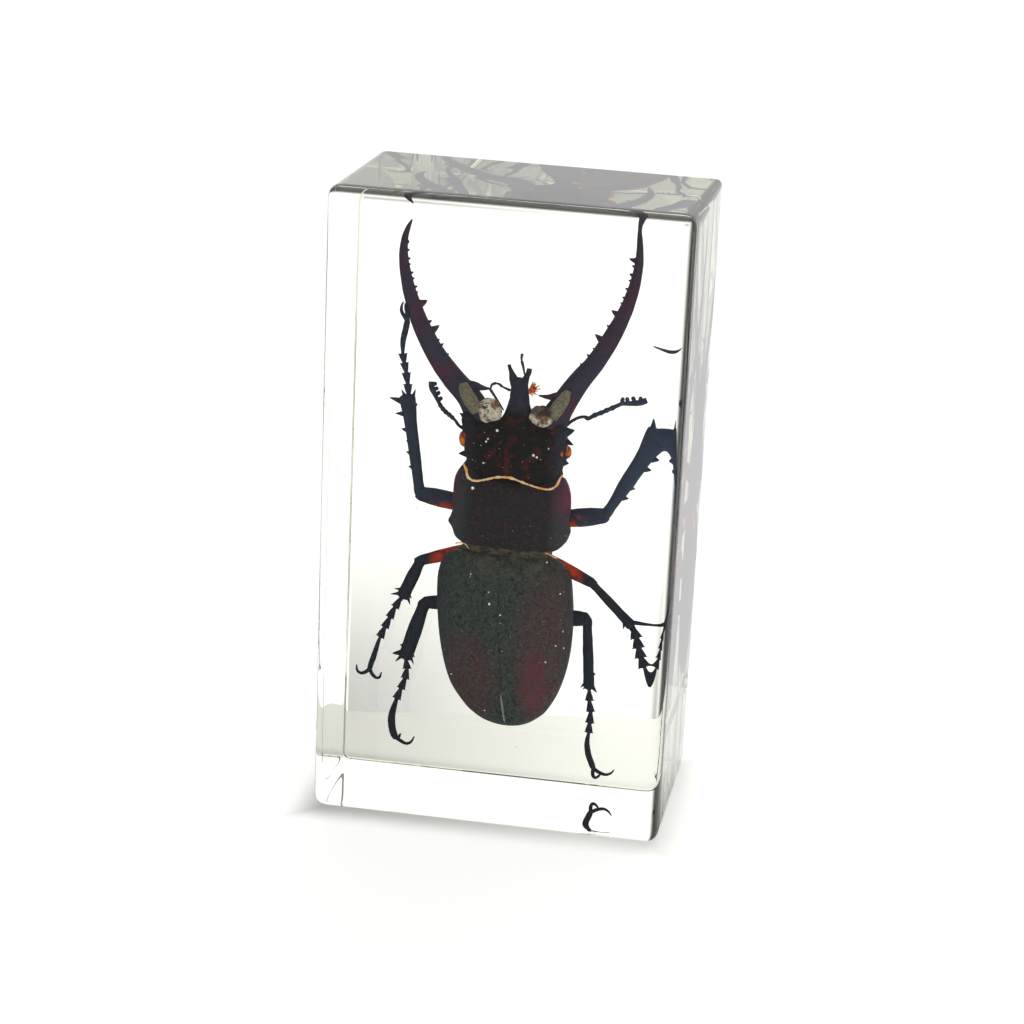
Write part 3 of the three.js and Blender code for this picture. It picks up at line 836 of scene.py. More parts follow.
def makeJawSkin():
    material, tree, shader, _ = newMaterial("jawSkin")
    place, x, y, z = objectPlace(tree)
    fine, folds = cloudsOn(place, 2400, 5), cloudsOn(place, 430, twist=1.6)
    blotches = cloudsOn(place, 520, 4, twist=0.6)
    tan = mixColour(rampOn(fine, 0.4, 0.6), jawSkin["tanDark"], jawSkin["tan"])
    white = mixColour(rampOn(blotches, 0.46, 0.62), jawSkin["white"], jawSkin["brown"])
    crease = sizeOf(minus(folds, 0.5))
    # Painted shade: the lines of the folds are darkened
    white = mixColour(rampOn(crease, 0.020, 0.006), white, jawSkin["dark"])
    # Painted shadow: the upper part of the right one is darkened
    hollow = times(times(rampOn(z, 0.0695, 0.0702), rampOn(x, 0.0, 0.001)), 0.85)
    white = mixColour(hollow, white, jawSkin["dark"])
    skin = mixColour(rampOn(sizeOf(x), 0.0064, 0.0058), tan, white)
    setInput(shader.inputs["Base Color"], skin)
    # Painted glow: the emission stands in for light that comes through from behind
    setInput(shader.inputs["Emission Color"], skin)   # light that comes through from behind
    shader.inputs["Emission Strength"].default_value = jawSkin["glow"]
    shader.inputs["Roughness"].default_value = 0.45
    shader.inputs["Specular IOR Level"].default_value = 0.4
    addBump(shader, mathNode("ADD", blotches, crease), 0.8, 0.0003)

    bm = bmesh.new()
    for pad in jawSkin["pads"]:
        verts = growLimb(bm, closeEnds(smoothRows(pad, 28)), 32)
        roughen(verts, 0.9, 0.12, 14)
    for centre, size in jawSkin["rounds"]:
        spot = Matrix.Translation(centre) @ Matrix.Diagonal((*size, 1))
        verts = bmesh.ops.create_icosphere(bm, subdivisions=5, radius=1.0, matrix=spot)["verts"]
        roughen(verts, 1.3, 0.38, 15)
        roughen(verts, 0.45, 0.16, 16)
    makePiece("jawSkin", bm, material, ("stag_beetle",))


makeJawSkin()


# ---- eyes, mouth tuft, the pale skin behind the head, air dots and motes ----

def plainSkin(name, colour, second, scale, roughness=0.5, glow=0.0):
    material, tree, shader, _ = newMaterial(name)
    clouds = cloudsOn(objectPlace(tree)[0], scale, 5)
    blend = mixColour(rampOn(clouds, 0.35, 0.65), colour, second)
    setInput(shader.inputs["Base Color"], blend)
    # Painted glow: the emission stands in for light that comes through from behind, and on the air
    # dots for their silvery shine
    setInput(shader.inputs["Emission Color"], blend)   # light that comes through from behind
    shader.inputs["Emission Strength"].default_value = glow
    shader.inputs["Roughness"].default_value = roughness
    shader.inputs["Specular IOR Level"].default_value = 0.35
    addBump(shader, clouds, 0.4, 0.0001)
    return material


def addDot(bm, spot, size, steps=1):
    place = Matrix.Translation(spot) @ Matrix.Diagonal((*size, 1))
    bmesh.ops.create_icosphere(bm, subdivisions=steps, radius=1.0, matrix=place)


def randomVector(rng, reach):
    return Vector([rng.uniform(-reach, reach) for _ in range(3)])


eyes = {
    "skin": {"name": "eyeAmber", "colour": (0.95, 0.25, 0.03), "second": (0.20, 0.035, 0.015),
             "scale": 1100, "roughness": 0.35, "glow": 0.12},
    # centre and size of each, set in the side of the head
    "spots": [((-8.85, 5.7, 64.3), (0.85, 1.0, 1.45)), ((8.95, 5.7, 63.6), (0.75, 1.0, 1.15)),
              ((-8.5, 4.7, 65.1), (0.55, 0.5, 0.5)), ((8.2, 3.9, 63.6), (0.25, 0.4, 0.5))],
}


def makeEyes():
    bm = bmesh.new()
    for centre, size in eyes["spots"]:
        addDot(bm, centre, size, 4)
    roughen(bm.verts, 0.5, 0.06, 17)
    makePiece("eyes", bm, plainSkin(**eyes["skin"]), ("stag_beetle",))


mouthTuft = {
    "skin": {"name": "mouthTuft", "colour": (0.85, 0.24, 0.04), "second": (0.45, 0.09, 0.02),
             "scale": 2500, "roughness": 0.6, "glow": 0.15},
    "root": (2.0, 5.4, 73.6),
    "tips": [(2.6, 5.2, 75.4), (3.2, 5.3, 75.3), (3.7, 5.4, 74.9), (3.3, 5.0, 74.5),
             (3.8, 5.3, 74.2), (3.2, 5.6, 73.8), (3.5, 5.2, 73.3), (2.8, 5.3, 73.0),
             (2.9, 5.6, 75.0), (3.0, 4.9, 74.0)],
    "hairsPerTip": 3,
    "thickness": 0.12,
}


def makeTuft():
    rng = random.Random(21)
    bm = bmesh.new()
    for tip in mouthTuft["tips"]:
        for _ in range(mouthTuft["hairsPerTip"]):
            root = Vector(mouthTuft["root"]) + randomVector(rng, 0.25)
            end = Vector(tip) + randomVector(rng, 0.3)
            growThorn(bm, root, end, mouthTuft["thickness"], randomVector(rng, 0.5), sides=6)
    makePiece("mouthTuft", bm, plainSkin(**mouthTuft["skin"]), ("stag_beetle",))


neckSkin = {
    "skin": {"name": "neckSkin", "colour": (0.95, 0.42, 0.10), "second": (1.0, 0.76, 0.46),
             "scale": 900, "roughness": 0.5, "glow": 0.3},
    # x and z along the edge of skin between the head and the pronotum, and at the two shoulders
    "edge": [(-8.5, 60.2), (-8.0, 59.4), (-7.7, 58.4), (-7.3, 57.8), (-6.3, 57.5), (-4.9, 57.75),
             (-3.2, 58.35), (-1.9, 58.6), (-0.3, 58.65), (1.4, 58.2), (3.2, 57.65), (4.9, 57.3),
             (6.6, 57.3), (7.6, 58.0), (8.1, 59.1), (8.5, 60.0)],
    "shoulders": [[(-9.4, 46.0), (-8.4, 46.2), (-7.5, 46.0), (-7.0, 45.3)],
                  [(6.4, 45.9), (7.2, 45.5), (8.2, 45.1)]],
    "edgeThickness": 0.20,
    "shoulderThickness": 0.11,
}


def makeNeckSkin():
    bm = bmesh.new()
    edges = [(neckSkin["edge"], neckSkin["edgeThickness"], 120)]
    edges += [(line, neckSkin["shoulderThickness"], 24) for line in neckSkin["shoulders"]]
    for i, (points, size, count) in enumerate(edges):
        rows = []
        for k, (x, z, _) in enumerate(smoothRows([(x, z, 0) for x, z in points], count)):
            swell = 0.75 + 0.9 * abs(noise.noise(Vector((k * 0.16, i * 5.0, 1.5))))
            spot = onShell(x, z, 0.02) or Vector((x, 4.6, z - 0.3))
            rows.append([*spot, size * swell, size * swell])
        growLimb(bm, closeEnds(smoothRows(rows, count)), 12)
    roughen(bm.verts, 0.35, 0.08, 31)
    makePiece("neckSkin", bm, plainSkin(**neckSkin["skin"]), ("stag_beetle",))


airDots = {
    # the white colour and the glow are a painted silvery shine
    "skin": {"name": "airDots", "colour": (1.0, 1.0, 1.0), "second": (0.75, 0.78, 0.82),
             "scale": 3000, "roughness": 0.2, "glow": 0.5},
    # x, z and radius of the larger silvery dots that cling to the shell
    "large": [(-6.6, 56.2, 0.27), (-2.9, 66.7, 0.23), (-4.7, 64.6, 0.17), (-4.4, 65.1, 0.15),
              (3.5, 63.0, 0.23), (4.1, 62.7, 0.19), (6.0, 64.4, 0.13), (-5.0, 60.8, 0.16),
              (-3.0, 37.9, 0.13), (-2.8, 35.8, 0.2), (-0.8, 34.0, 0.14), (6.7, 44.2, 0.16),
              (9.3, 38.8, 0.14), (-6.3, 40.8, 0.12), (10.1, 32.0, 0.12), (7.4, 26.2, 0.14),
              (9.0, 29.3, 0.13), (10.4, 29.0, 0.12), (-2.9, 15.9, 0.12), (-9.1, 22.0, 0.12)],
    "smallCount": 110,   # scattered
}


def makeDots():
    rng = random.Random(4)
    bm = bmesh.new()
    for x, z, radius in airDots["large"]:
        spot = onShell(x, z, radius * 0.3)
        if spot is not None:
            addDot(bm, spot, (radius,) * 3, 2)
    for _ in range(airDots["smallCount"]):
        x, z = rng.uniform(-12, 12), rng.uniform(14, 68)
        spot = onShell(x, z, 0.01)
        if spot is not None:
            addDot(bm, spot, (0.03 + 0.05 * rng.random() ** 3,) * 3)
    makePiece("airDots", bm, plainSkin(**airDots["skin"]), ("stag_beetle",))


motes = {   # dust that was caught in the casting
    "skin": {"name": "motes", "colour": (0.06, 0.055, 0.05), "second": (0.16, 0.14, 0.12),
             "scale": 3000, "roughness": 0.6},
    "count": 45,
    "reach": ((-27, 27), (-15, 15), (4, 104)),
}


def makeMotes():
    rng = random.Random(9)
    bm = bmesh.new()
    for _ in range(motes["count"]):
        spot = Vector([rng.uniform(*span) for span in motes["reach"]])
        addDot(bm, spot, (0.03 + 0.07 * rng.random() ** 2,) * 3)
    roughen(bm.verts, 0.1, 0.03, 33)
    makePiece("motes", bm, plainSkin(**motes["skin"]), ("stag_beetle",))


makeEyes()
makeTuft()
makeNeckSkin()
makeDots()
makeMotes()


# ---- legs, antennae and mouth feelers ----

legShell = {
    "name": "legShell",
    "shell": (0.050, 0.076, 0.140),
    "tint": (0.070, 0.040, 0.070),
    "speck": (0.15, 0.16, 0.20),
    "thigh": (1.0, 0.085, 0.015),
    "black": (0.018, 0.022, 0.034),
    "blue": (0.085, 0.120, 0.215),   # the right fore leg
    "tintFrom": 0.35,
    "tintShare": 0.5,
    "speckShare": 0.2,
    "grainSize": 2600.0,
    "patchSize": 300.0,
    "bump": 0.15,
    "gloss": 0.15,
}

legs = {
    # hip, knee and ankle; the foot's line, of which the first five points bound its four short
    # joints; the claws; half widths of the thigh, of the shin at its knee, middle and end, of the
    # foot and of its last joint; and the spines as (share of the shin, side, length, lean, half
    # width), where lean 0 points straight out and 1 along the shin
    "legForeLeft": {
        "hip": (-8, 8.6, 52.0), "knee": (-16.5, 8.3, 53.2), "ankle": (-19.2, 8, 70.2),
        "foot": [(-19.0, 8, 70.5), (-19.2, 7.9, 72.5), (-19.5, 7.8, 74.5), (-19.9, 7.7, 76.2),
                 (-20.2, 7.6, 77.8), (-20.2, 7.5, 80.1), (-19.8, 7.4, 82.1), (-19.5, 7.4, 83.9)],
        "claws": [[(-20.1, 7.4, 84.3), (-20.6, 7.4, 85.1), (-20.6, 7.4, 86.0), (-20.3, 7.4, 86.8)],
                  [(-19.6, 7.2, 84.6), (-19.9, 7.2, 85.6), (-20.0, 7.2, 86.6)]],
        "thigh": 1.6, "shin": (0.98, 1.02, 1.4), "sole": 0.42, "last": 0.55,
        "spines": [(0.28, 1, 0.4, 0.3, 0.4), (0.43, 1, 0.5, 0.3, 0.4), (0.55, 1, 0.2, 0.3, 0.3),
                   (0.67, 1, 0.7, 0.2, 0.45), (0.84, 1, 1.2, 0.0, 0.5), (0.97, 1, 1.9, 0.25, 0.6),
                   (1.0, 0.45, 1.4, 0.85, 0.4), (0.99, -0.85, 1.5, 0.8, 0.35),
                   (0.92, -1, 0.25, 0.3, 0.5)],
    },
    "legForeRight": {
        "hip": (8, 8.6, 51.0), "knee": (15.8, 8.3, 52.5), "ankle": (24.3, 8, 67.9),
        "foot": [(25.3, 8, 67.9), (26.4, 8, 69.7), (26.9, 8, 71.8), (27.2, 8, 74.0),
                 (27.4, 8, 75.8), (27.6, 8, 78.0), (27.6, 8, 80.2), (27.4, 8, 82.0)],
        "claws": [[(26.6, 8, 82.6), (25.4, 8, 82.2), (24.2, 8, 82.4), (22.3, 8, 82.9)],
                  [(28.2, 8, 82.9), (28.4, 8, 84.3)]],
        "thigh": 1.65, "shin": (0.95, 1.28, 2.3), "sole": 0.36, "last": 0.55,
        "spines": [(0.265, -1, 0.5, 0.35, 0.5), (0.385, -1, 0.5, 0.35, 0.5),
                   (0.63, -1, 0.9, 0.25, 0.7), (0.764, -1, 0.65, 0.25, 0.7),
                   (0.97, 0.68, 2.4, 0.75, 0.75), (0.98, -0.4, 2.0, 0.97, 2.1)],
    },
    "legMiddleLeft": {
        "hip": (-4.5, 8.6, 45.0), "knee": (-16.0, 8.7, 41.0), "ankle": (-18.9, 8.4, 34.0),
        "foot": [(-19.3, 8.4, 33.6), (-20.2, 8.4, 31.9), (-21.1, 8.4, 29.9), (-21.9, 8.4, 28.0),
                 (-22.7, 8.4, 26.1), (-23.2, 8.4, 24.3), (-23.7, 8.4, 22.4), (-24.2, 8.4, 20.7),
                 (-24.4, 8.4, 19.7)],
        "claws": [[(-24.9, 8.2, 19.5), (-25.8, 8.2, 19.1), (-26.5, 8.2, 19.5), (-26.7, 8.2, 20.6)],
                  [(-23.8, 8.2, 19.1), (-23.1, 8.2, 18.5), (-22.5, 8.2, 18.7), (-22.2, 8.2, 19.7)]],
        "thigh": 1.15, "shin": (1.0, 1.1, 1.15), "sole": 0.42, "last": 0.5,
        "spines": [(0.86, -1, 0.9, 0.3, 0.25), (0.98, -1, 1.2, 0.4, 0.3), (0.97, 1, 1.1, 0.6, 0.28),
                   (0.9, 1, 0.5, 0.4, 0.2), (1.0, 0.2, 0.8, 1, 0.25)],
    },
    "legMiddleRight": {
        "hip": (4.0, 8.6, 44.6), "knee": (14.1, 8.6, 40.1), "ankle": (21.5, 8.4, 33.1),
        "foot": [(21.9, 8.4, 32.4), (22.5, 8.4, 30.9), (23.0, 8.4, 29.1), (23.5, 8.4, 27.4),
                 (24.2, 8.4, 25.7), (25.0, 8.4, 23.7), (25.8, 8.4, 21.7), (26.5, 8.4, 19.8)],
        "claws": [[(27.0, 8.2, 17.8), (26.2, 8.2, 17.0)], [(27.6, 8.2, 18.2), (27.8, 8.2, 16.6)]],
        "thigh": 1.15, "shin": (0.74, 0.8, 0.95), "sole": 0.6, "last": 0.6,
        "spines": [(0.9, -1, 0.8, 0.5, 0.28), (0.985, 0.9, 4.8, 0.53, 0.42),
                   (1.0, -0.7, 0.8, 0.8, 0.25)],
    },
    "legHindLeft": {
        "hip": (-9, 9.2, 34.0), "knee": (-15.1, 9.4, 33.2), "ankle": (-18.2, 9.4, 22.6),
        "foot": [(-18.0, 9.4, 22.0), (-17.8, 9.4, 20.5), (-18.1, 9.4, 18.6), (-18.8, 9.4, 16.6),
                 (-19.5, 9.4, 14.6), (-20.0, 9.4, 12.7), (-20.3, 9.4, 10.7), (-20.0, 9.4, 8.6),
                 (-19.4, 9.4, 7.0)],
        "claws": [[(-18.5, 9.2, 6.8), (-17.5, 9.2, 6.4), (-16.7, 9.2, 6.7), (-16.0, 9.2, 7.9)],
                  [(-19.0, 9.2, 7.3), (-18.5, 9.2, 8.2)]],
        "thigh": 1.3, "shin": (1.12, 1.28, 1.25), "sole": 0.42, "last": 0.68,
        "spines": [(0.82, -1, 0.4, 0.3, 0.3), (0.96, -1, 1.3, 0.35, 0.6),
                   (1.0, -0.75, 1.5, 0.75, 0.4), (0.98, 1, 1.1, 0.6, 0.25),
                   (0.92, 1, 0.4, 0.4, 0.25)],
    },
    "legHindRight": {
        "hip": (8.5, 9.2, 33.0), "knee": (13.6, 9.7, 33.2), "ankle": (14.4, 12.0, 20.0),
        "foot": [(14.5, 12.1, 19.2), (14.6, 12.3, 17.4), (14.9, 12.7, 15.2), (14.8, 13, 13.0),
                 (14.7, 13.3, 11.1), (14.5, 13.6, 8.9), (14.9, 13.8, 6.7), (15.6, 14, 4.8),
                 (16.0, 14, 3.9)],
        "claws": [[(16.9, 14, 3.6), (18.1, 14, 3.3), (19.0, 14, 3.7), (19.6, 14, 4.4)],
                  [(15.8, 14, 3.0), (16.2, 14, 2.5), (16.9, 14, 2.9), (17.4, 14, 3.7)]],
        "thigh": 1.45, "shin": (0.88, 0.92, 1.0), "sole": 0.42, "last": 0.56,
        "spines": [(0.96, -1, 0.9, 0.55, 0.25), (0.99, -0.7, 0.8, 0.6, 0.22),
                   (0.8, 1, 0.3, 0.3, 0.3), (0.99, 0.9, 1.2, 0.7, 0.45)],
    },
}


def makeLegMaterial():
    material, tree, shader, grain = shellMaterial(legShell)
    place, x, y, z = objectPlace(tree)
    # The two hind pairs are blacker than the fore pair, of which the right leg is the bluest
    shade = mixColour(times(rampOn(z, 0.0500, 0.0440), 0.65), grain, legShell["black"])
    blue = times(times(rampOn(z, 0.051, 0.055), rampOn(x, 0.012, 0.016)), 0.6)
    shade = mixColour(blue, shade, legShell["blue"])
    # The thighs glow orange-red in places where they leave the body
    near = rampOn(sizeOf(mathNode("ADD", x, 0.0009)), 0.0142, 0.0116)
    upper = times(rampOn(z, 0.0375, 0.0395), rampOn(z, 0.0528, 0.0510))
    streaks = cloudsOn(place, 500)
    broken = times(rampOn(z, 0.048, 0.046), rampOn(streaks, 0.28, 0.52))
    broken = larger(rampOn(streaks, 0.40, 0.58), broken)
    colour = mixColour(times(times(near, upper), broken), shade, legShell["thigh"])
    setInput(shader.inputs["Base Color"], colour)
    return material


legForm = {
    # share of the way along, and half width as a share of the limb's own
    "thigh": ((0, 0.75), (0.12, 0.88), (0.4, 1.0), (0.7, 0.97), (0.88, 0.86), (1.0, 0.78),
              (1.08, 0.5)),
    "footJoint": ((0.03, 0.8), (0.25, 1.1), (0.55, 1.45), (0.82, 1.7), (0.97, 1.2)),
    "lastJoint": (0.5, 0.62, 0.74, 0.83, 0.9, 0.95, 1.0, 1.0, 1.0, 1.0, 0.95, 0.6),
    "claw": 0.36,      # half width at its root
    "bristle": 0.22,
}


def makeLeg(name, leg, material):
    bm = bmesh.new()
    hip, knee, ankle = (Vector(leg[key]) for key in ("hip", "knee", "ankle"))
    thighRows = []
    for share, size in legForm["thigh"]:
        thighRows.append((*hip.lerp(knee, share), leg["thigh"] * size, leg["thigh"] * size * 0.8))
    growLimb(bm, closeEnds(smoothRows(thighRows, 28)), 28)

    start, middle, end = leg["shin"]
    shinRows = []
    for share, size in ((-0.05, start * 0.5), (0.0, start * 0.9), (0.05, start),
                        (0.12, start * 0.93), (0.4, middle), (0.72, mix(middle, end, 0.2)),
                        (0.88, mix(middle, end, 0.75)), (0.98, end), (1.01, end * 0.92),
                        (1.025, end * 0.6)):
        shinRows.append((*knee.lerp(ankle, share), size, size * 0.65 + 0.08))
    growLimb(bm, closeEnds(smoothRows(shinRows, 52)), 26, 2.2)

    along = (ankle - knee).normalized()
    outward = Vector((-along.z, 0, along.x)).normalized()
    for share, side, length, lean, width in leg["spines"]:
        edge = mix(middle, end, smoothStep(0.5, 1.0, share)) * abs(side)
        aside = outward * (1 if side >= 0 else -1)
        at = knee.lerp(ankle, share)
        heading = (aside * (1 - lean) + along * lean).normalized()
        root = at + aside * max(edge - width * 0.8, 0) - along * width * 0.4
        growThorn(bm, root, at + aside * edge + heading * length, width,
                  heading.lerp(along, 0.3) * 0.15 * length, sides=14)

    # Four short joints that widen towards the claws, then one long one
    spots = [Vector(p) for p in leg["foot"]]
    sole, last = leg["sole"], leg["last"]
    footRows = [(*ankle.lerp(spots[0], -0.6), sole * 0.9, sole * 0.8)]   # starts inside the shin
    for a, b in zip(spots[:4], spots[1:5]):
        for part, size in legForm["footJoint"]:
            footRows.append((*a.lerp(b, part), sole * size, sole * (0.5 + size * 0.4)))
    tail = smoothRows([(*p, 0) for p in spots[4:]], len(legForm["lastJoint"]))
    for p, share in zip(tail, legForm["lastJoint"]):
        size = share * last
        footRows.append((*p[:3], size, size * 0.85))
    growLimb(bm, closeEnds(footRows), 16)
    for a, b in zip(spots[:4], spots[1:5]):   # a pair of short bristles at the end of each joint
        ahead = (b - a).normalized()
        aside = Vector((-ahead.z, 0, ahead.x)).normalized()
        for side in (-1, 1):
            root = a.lerp(b, 0.85) + aside * side * sole
            tip = root + aside * side * sole + ahead * 0.25
            growThorn(bm, root, tip, legForm["bristle"], sides=8)
    heel = spots[-1] - (spots[-1] - spots[-2]).normalized() * 0.4
    for claw in leg["claws"]:
        rows = []
        for i, p in enumerate(smoothRows([(*heel, 0), *[(*q, 0) for q in claw]], 24)):
            size = legForm["claw"] * (1 - 0.72 * (i / 23) ** 2.2)
            rows.append((*p[:3], size, size * 0.9))
        growLimb(bm, closeEnds(rows), 12)
    roughen(bm.verts, 1.5, 0.05, 23)
    makePiece(name, bm, material, ("stag_beetle",))


legMaterial = makeLegMaterial()
for legName, leg in legs.items():
    makeLeg(legName, leg, legMaterial)


antennae = {
    # the stalk, the tips of its comb plates, the shares of the comb along it and its beads
    "antennaLeft": {
        "stalk": [(-8.8, 6.4, 65.6), (-10.0, 6.8, 66.3), (-10.7, 7, 67.1), (-11.7, 7, 67.9),
                  (-12.5, 7, 68.5), (-13.2, 7, 69.3), (-13.8, 7, 70.3), (-14.4, 7, 71.4),
                  (-14.9, 7, 72.4), (-15.0, 7, 73.4)],
        "comb": [(-13.1, 6.9, 70.9), (-13.5, 6.9, 71.8), (-13.8, 6.9, 72.5), (-14.1, 6.9, 73.2)],
        "combFrom": 0.66, "combTo": 0.97,
        "beads": (0.30, 0.37, 0.44, 0.51, 0.58),
    },
    "antennaRight": {
        "stalk": [(8.0, 6.4, 67.6), (9.2, 6.8, 68.8), (10.5, 7, 69.6), (11.5, 7, 69.8),
                  (12.1, 7, 69.6), (13.0, 7, 70.2), (14.2, 7, 70.8), (15.5, 7, 71.5),
                  (16.7, 7, 72.2), (17.7, 7, 72.7), (19.2, 7, 72.9), (20.7, 7, 73.2),
                  (21.8, 7, 73.7)],
        "comb": [(17.8, 6.9, 73.8), (18.5, 6.9, 73.9), (19.4, 6.9, 74.1), (20.7, 6.9, 74.2)],
        "combFrom": 0.72, "combTo": 0.93,
        "beads": (0.30, 0.40, 0.47, 0.54, 0.61),
    },
}
feelers = {
    "thickness": 0.24,
    "lines": [
        [(-2.2, 5.3, 69.9), (-3.4, 5.1, 71.7), (-4.7, 5.1, 73.5)],
        [(-4.6, 5.1, 73.4), (-4.4, 5.1, 74.2), (-3.7, 5.1, 74.6)],
        [(-3.9, 5.1, 74.6), (-3.1, 5.2, 74.4), (-2.6, 5.2, 74.0)],
        [(-2.7, 5.2, 74.1), (-2.0, 5.2, 73.8), (-1.2, 5.3, 73.5)],
        [(1.1, 5.4, 76.3), (0.8, 5.5, 77.6), (0.45, 5.5, 78.8)],
        [(0.45, 5.5, 78.7), (0.4, 5.5, 79.3), (0.5, 5.5, 80.0)],
    ],
}


def makeAntenna(name, antenna, material):
    bm = bmesh.new()
    count = 90
    low, high = antenna["combFrom"], antenna["combTo"]
    rows = smoothRows([(*p, 0, 0) for p in antenna["stalk"]], count)
    for i, row in enumerate(rows):
        share = i / (count - 1)
        size = 0.27 + 0.08 * smoothStep(0.25, 0.35, share) + 0.18 * smoothStep(low, high, share)
        size += sum(0.11 * math.exp(-((share - bead) / 0.02) ** 2) for bead in antenna["beads"])
        row[3] = row[4] = size
    growLimb(bm, closeEnds(rows), 14)
    spots = [Vector(row[:3]) for row in rows]
    for i, tip in enumerate(antenna["comb"]):
        root = spots[round(mix(low, high, i / 3) * (count - 1))]
        plate = [(*root.lerp(Vector(tip), t), size, size * 0.9)
                 for t, size in ((0, 0.26), (0.3, 0.34), (0.7, 0.36), (0.95, 0.3), (1.05, 0.16))]
        growLimb(bm, closeEnds(smoothRows(plate, 10)), 12)
    roughen(bm.verts, 0.8, 0.04, 27)
    makePiece(name, bm, material, ("stag_beetle",))


def makeFeelers(material):
    bm = bmesh.new()
    size = feelers["thickness"]
    for line in feelers["lines"]:
        rows = smoothRows([(*p, 0, 0) for p in line], 12)
        for i, row in enumerate(rows):
            row[3] = row[4] = size * (0.6 + 0.55 * (i / 11)) * (0.7 if i in (0, 11) else 1)
        growLimb(bm, closeEnds(rows), 12)
    makePiece("mouthFeelers", bm, material, ("stag_beetle",))


for antennaName, antenna in antennae.items():
    makeAntenna(antennaName, antenna, legMaterial)
makeFeelers(legMaterial)


# ---- floor, light and camera ----

studio = {
    "floorEdge": (0.0, 46.2),        # a point on the table's far edge
    "floorTurn": 12.25,              # degrees that the edge is turned
    "floorSize": (1600.0, 900.0),
    "floorGap": 0.25,                # the air film that keeps the block's bottom mirror-bright
    "floorColour": (0.86, 0.86, 0.83),
    "fibreColour": (0.8, 0.8, 0.76),
    "floorGlow": 0.30,               # lifts the table towards plain white
    "floorSeen": 0.66,               # and at least this much where it is seen directly
    "floorMirror": 0.18,             # how bright it is in the polished faces
    "shadow": 0.55,                  # depth of the shadow round the foot of the block
    "shadowReach": 7.0,
    "behind": 1.25,                  # brightness of the backdrop
    "before": 0.45,                  # and of the room in front of it
    "beyond": 0.06,                  # share of the light that is left beside the backdrop
    "mirrorShare": 0.75,             # share of the light that the outer faces mirror
    "shade": 0.47,                   # the dim patch low behind the block
    "shadeAt": (-0.255, 0.88, -0.40),
    "shadeForm": (1.0, 0.0, 1.7),
}


def mirroredOnly(path):
    # 1 for light that the outside of a polished face mirrors, without passing through it
    return times(path["Is Glossy Ray"], minus(1.0, path["Is Transmission Ray"]))


def makeFloor():
    material, tree, shader, output = newMaterial("paperTable")
    place, x, y, z = objectPlace(tree)
    path = addNode(tree, "LightPath").outputs
    shader.inputs["Roughness"].default_value = 0.9
    shader.inputs["Specular IOR Level"].default_value = 0.1
    fibres = times(cloudsOn(place, 90, 4), 0.04)
    colour = mixColour(fibres, studio["floorColour"], studio["fibreColour"])
    # Painted light: the table's glow falls off towards the left
    dimmest, brightest = studio["floorGlow"] * 0.7, studio["floorGlow"] * 2.2
    glow = rampOn(x, -0.045, 0.015, dimmest, brightest, eased=False)
    seenGlow = larger(glow, times(path["Is Camera Ray"], studio["floorSeen"]))
    # Painted shadow: close to the foot of the block the table is darkened, most of all at its left
    # corner
    outside = larger(minus(sizeOf(x), 0.028), minus(sizeOf(y), 0.016))
    near = rampOn(outside, studio["shadowReach"] * mm, 0.0)
    leftward = rampOn(x, -0.03, 0.02, 1.0, 0.45, eased=False)
    shadow = times(times(near, leftward), studio["shadow"])
    setInput(shader.inputs["Emission Color"], (1, 1, 0.98))
    setInput(shader.inputs["Emission Strength"], times(seenGlow, minus(1.0, shadow)))
    setInput(shader.inputs["Base Color"], mixColour(shadow, colour, (0.05, 0.05, 0.05)))
    # Light that a polished face mirrors from the table is weak, as in a dim room
    dim = addNode(tree, "Emission", {"Strength": studio["floorMirror"]})
    inFront = rampOn(y, 0.02, -0.02)
    mask = times(mirroredOnly(path), inFront)
    seen = addNode(tree, "MixShader",
                   {0: mask, 1: shader.outputs["BSDF"], 2: dim.outputs["Emission"]})
    setInput(output.inputs["Surface"], seen.outputs["Shader"])

    bm = bmesh.new()
    bmesh.ops.create_grid(bm, x_segments=8, y_segments=8, size=0.5)
    width, depth = studio["floorSize"]
    bmesh.ops.scale(bm, vec=(width, depth, 1), verts=bm.verts)
    bmesh.ops.translate(bm, vec=(0, -depth / 2, 0), verts=bm.verts)
    turn = Matrix.Rotation(math.radians(studio["floorTurn"]), 4, "Z")
    shift = Matrix.Translation((*studio["floorEdge"], -studio["floorGap"]))
    bmesh.ops.transform(bm, matrix=shift @ turn, verts=bm.verts)
    bmesh.ops.scale(bm, vec=(mm, mm, mm), verts=bm.verts)
    mesh = bpy.data.meshes.new("floor")
    bm.to_mesh(mesh)
    bm.free()
    mesh.materials.append(material)
    floor = bpy.data.objects.new("floor", mesh)
    scene.collection.objects.link(floor)


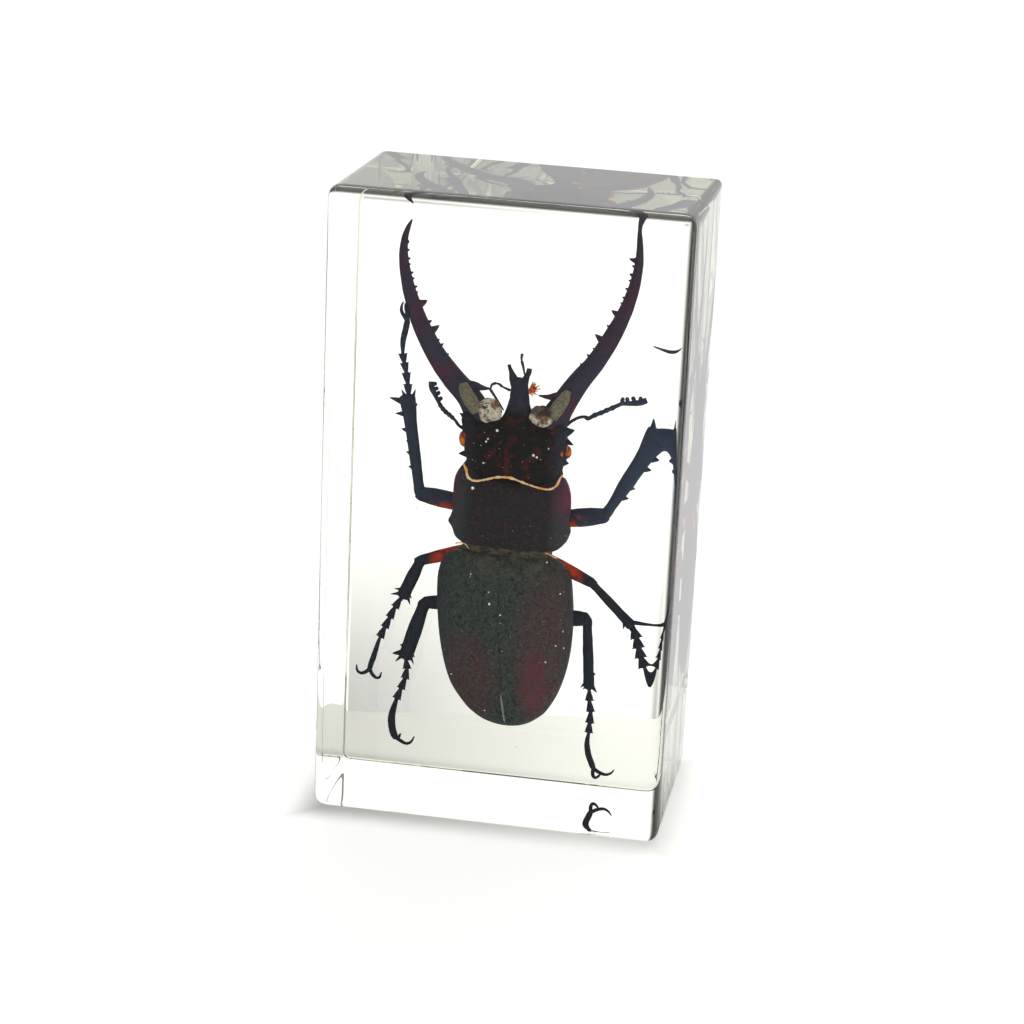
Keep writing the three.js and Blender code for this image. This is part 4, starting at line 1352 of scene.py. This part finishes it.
def makeWorld():
    world = bpy.data.worlds.new("studio")
    scene.world = world
    world.use_nodes = True
    tree = world.node_tree
    tree.nodes.clear()
    path = addNode(tree, "LightPath").outputs
    heading = addNode(tree, "TexCoord").outputs["Generated"]
    x, y, z = addNode(tree, "SeparateXYZ", {"Vector": heading}).outputs
    # Bright behind the block, dimmer in the room in front of it
    level = rampOn(rampOn(y, -0.1, 0.7), 0.0, 1.0, studio["before"], studio["behind"], eased=False)
    # A dim patch low behind, to the left, wider than it is high
    away = addNode(tree, "VectorMath", {0: heading, 1: studio["shadeAt"]}, operation="SUBTRACT")
    away = addNode(tree, "VectorMath", {0: away.outputs["Vector"], 1: studio["shadeForm"]},
                   operation="MULTIPLY")
    away = addNode(tree, "VectorMath", {0: away.outputs["Vector"]}, operation="LENGTH")
    shaded = times(level, rampOn(away.outputs["Value"], 0.0, 0.15, studio["shade"], 1.0))
    # What the outside of the block mirrors is the dimmer room round the table
    shaded = times(shaded, minus(1.0, times(mirroredOnly(path), 1.0 - studio["mirrorShare"])))
    # The lit backdrop is narrow: the room is dark beside it and below the table
    sides = larger(rampOn(x, -0.30, -0.52), rampOn(x, 0.55, 0.80))
    beyond = times(larger(sides, rampOn(z, -0.45, -0.60)), rampOn(y, -0.2, 0.2))
    shaded = times(shaded, minus(1.0, times(beyond, 1.0 - studio["beyond"])))
    # Seen directly, the backdrop is plain white
    strength = addNode(tree, "Mix", {"Factor": path["Is Camera Ray"], 2: shaded, 3: 1.05})
    light = addNode(tree, "Background", {"Color": (1, 1, 1), "Strength": strength.outputs[0]})
    addNode(tree, "OutputWorld", {"Surface": light.outputs["Background"]})


camera = {
    "place": (68.64, -379.06, 179.33),
    "turn": 6.371, "tilt": -15.984, "roll": -3.724,   # degrees
    "lens": 82.73,
    "shift": (-0.1580, -0.0896),
}


def makeCamera():
    lens = bpy.data.cameras.new("camera")
    lens.sensor_width = 36
    lens.lens = camera["lens"]
    lens.shift_x, lens.shift_y = camera["shift"]
    lens.clip_start, lens.clip_end = 0.01, 20
    eye = bpy.data.objects.new("camera", lens)
    scene.collection.objects.link(eye)
    turn = (Matrix.Rotation(math.radians(camera["turn"]), 4, "Z")
            @ Matrix.Rotation(math.radians(camera["tilt"]), 4, "X")
            @ Matrix.Rotation(math.radians(camera["roll"]), 4, "Y")
            @ Matrix.Rotation(math.radians(90), 4, "X"))
    eye.matrix_world = Matrix.Translation(Vector(camera["place"]) * mm) @ turn
    scene.camera = eye


makeFloor()
makeWorld()
makeCamera()
scene.view_settings.view_transform = "Standard"
scene.cycles.max_bounces = 32
scene.cycles.transmission_bounces = 32
scene.cycles.glossy_bounces = 32
scene.cycles.diffuse_bounces = 3
scene.cycles.caustics_refractive = True
print("floor, light and camera are set")
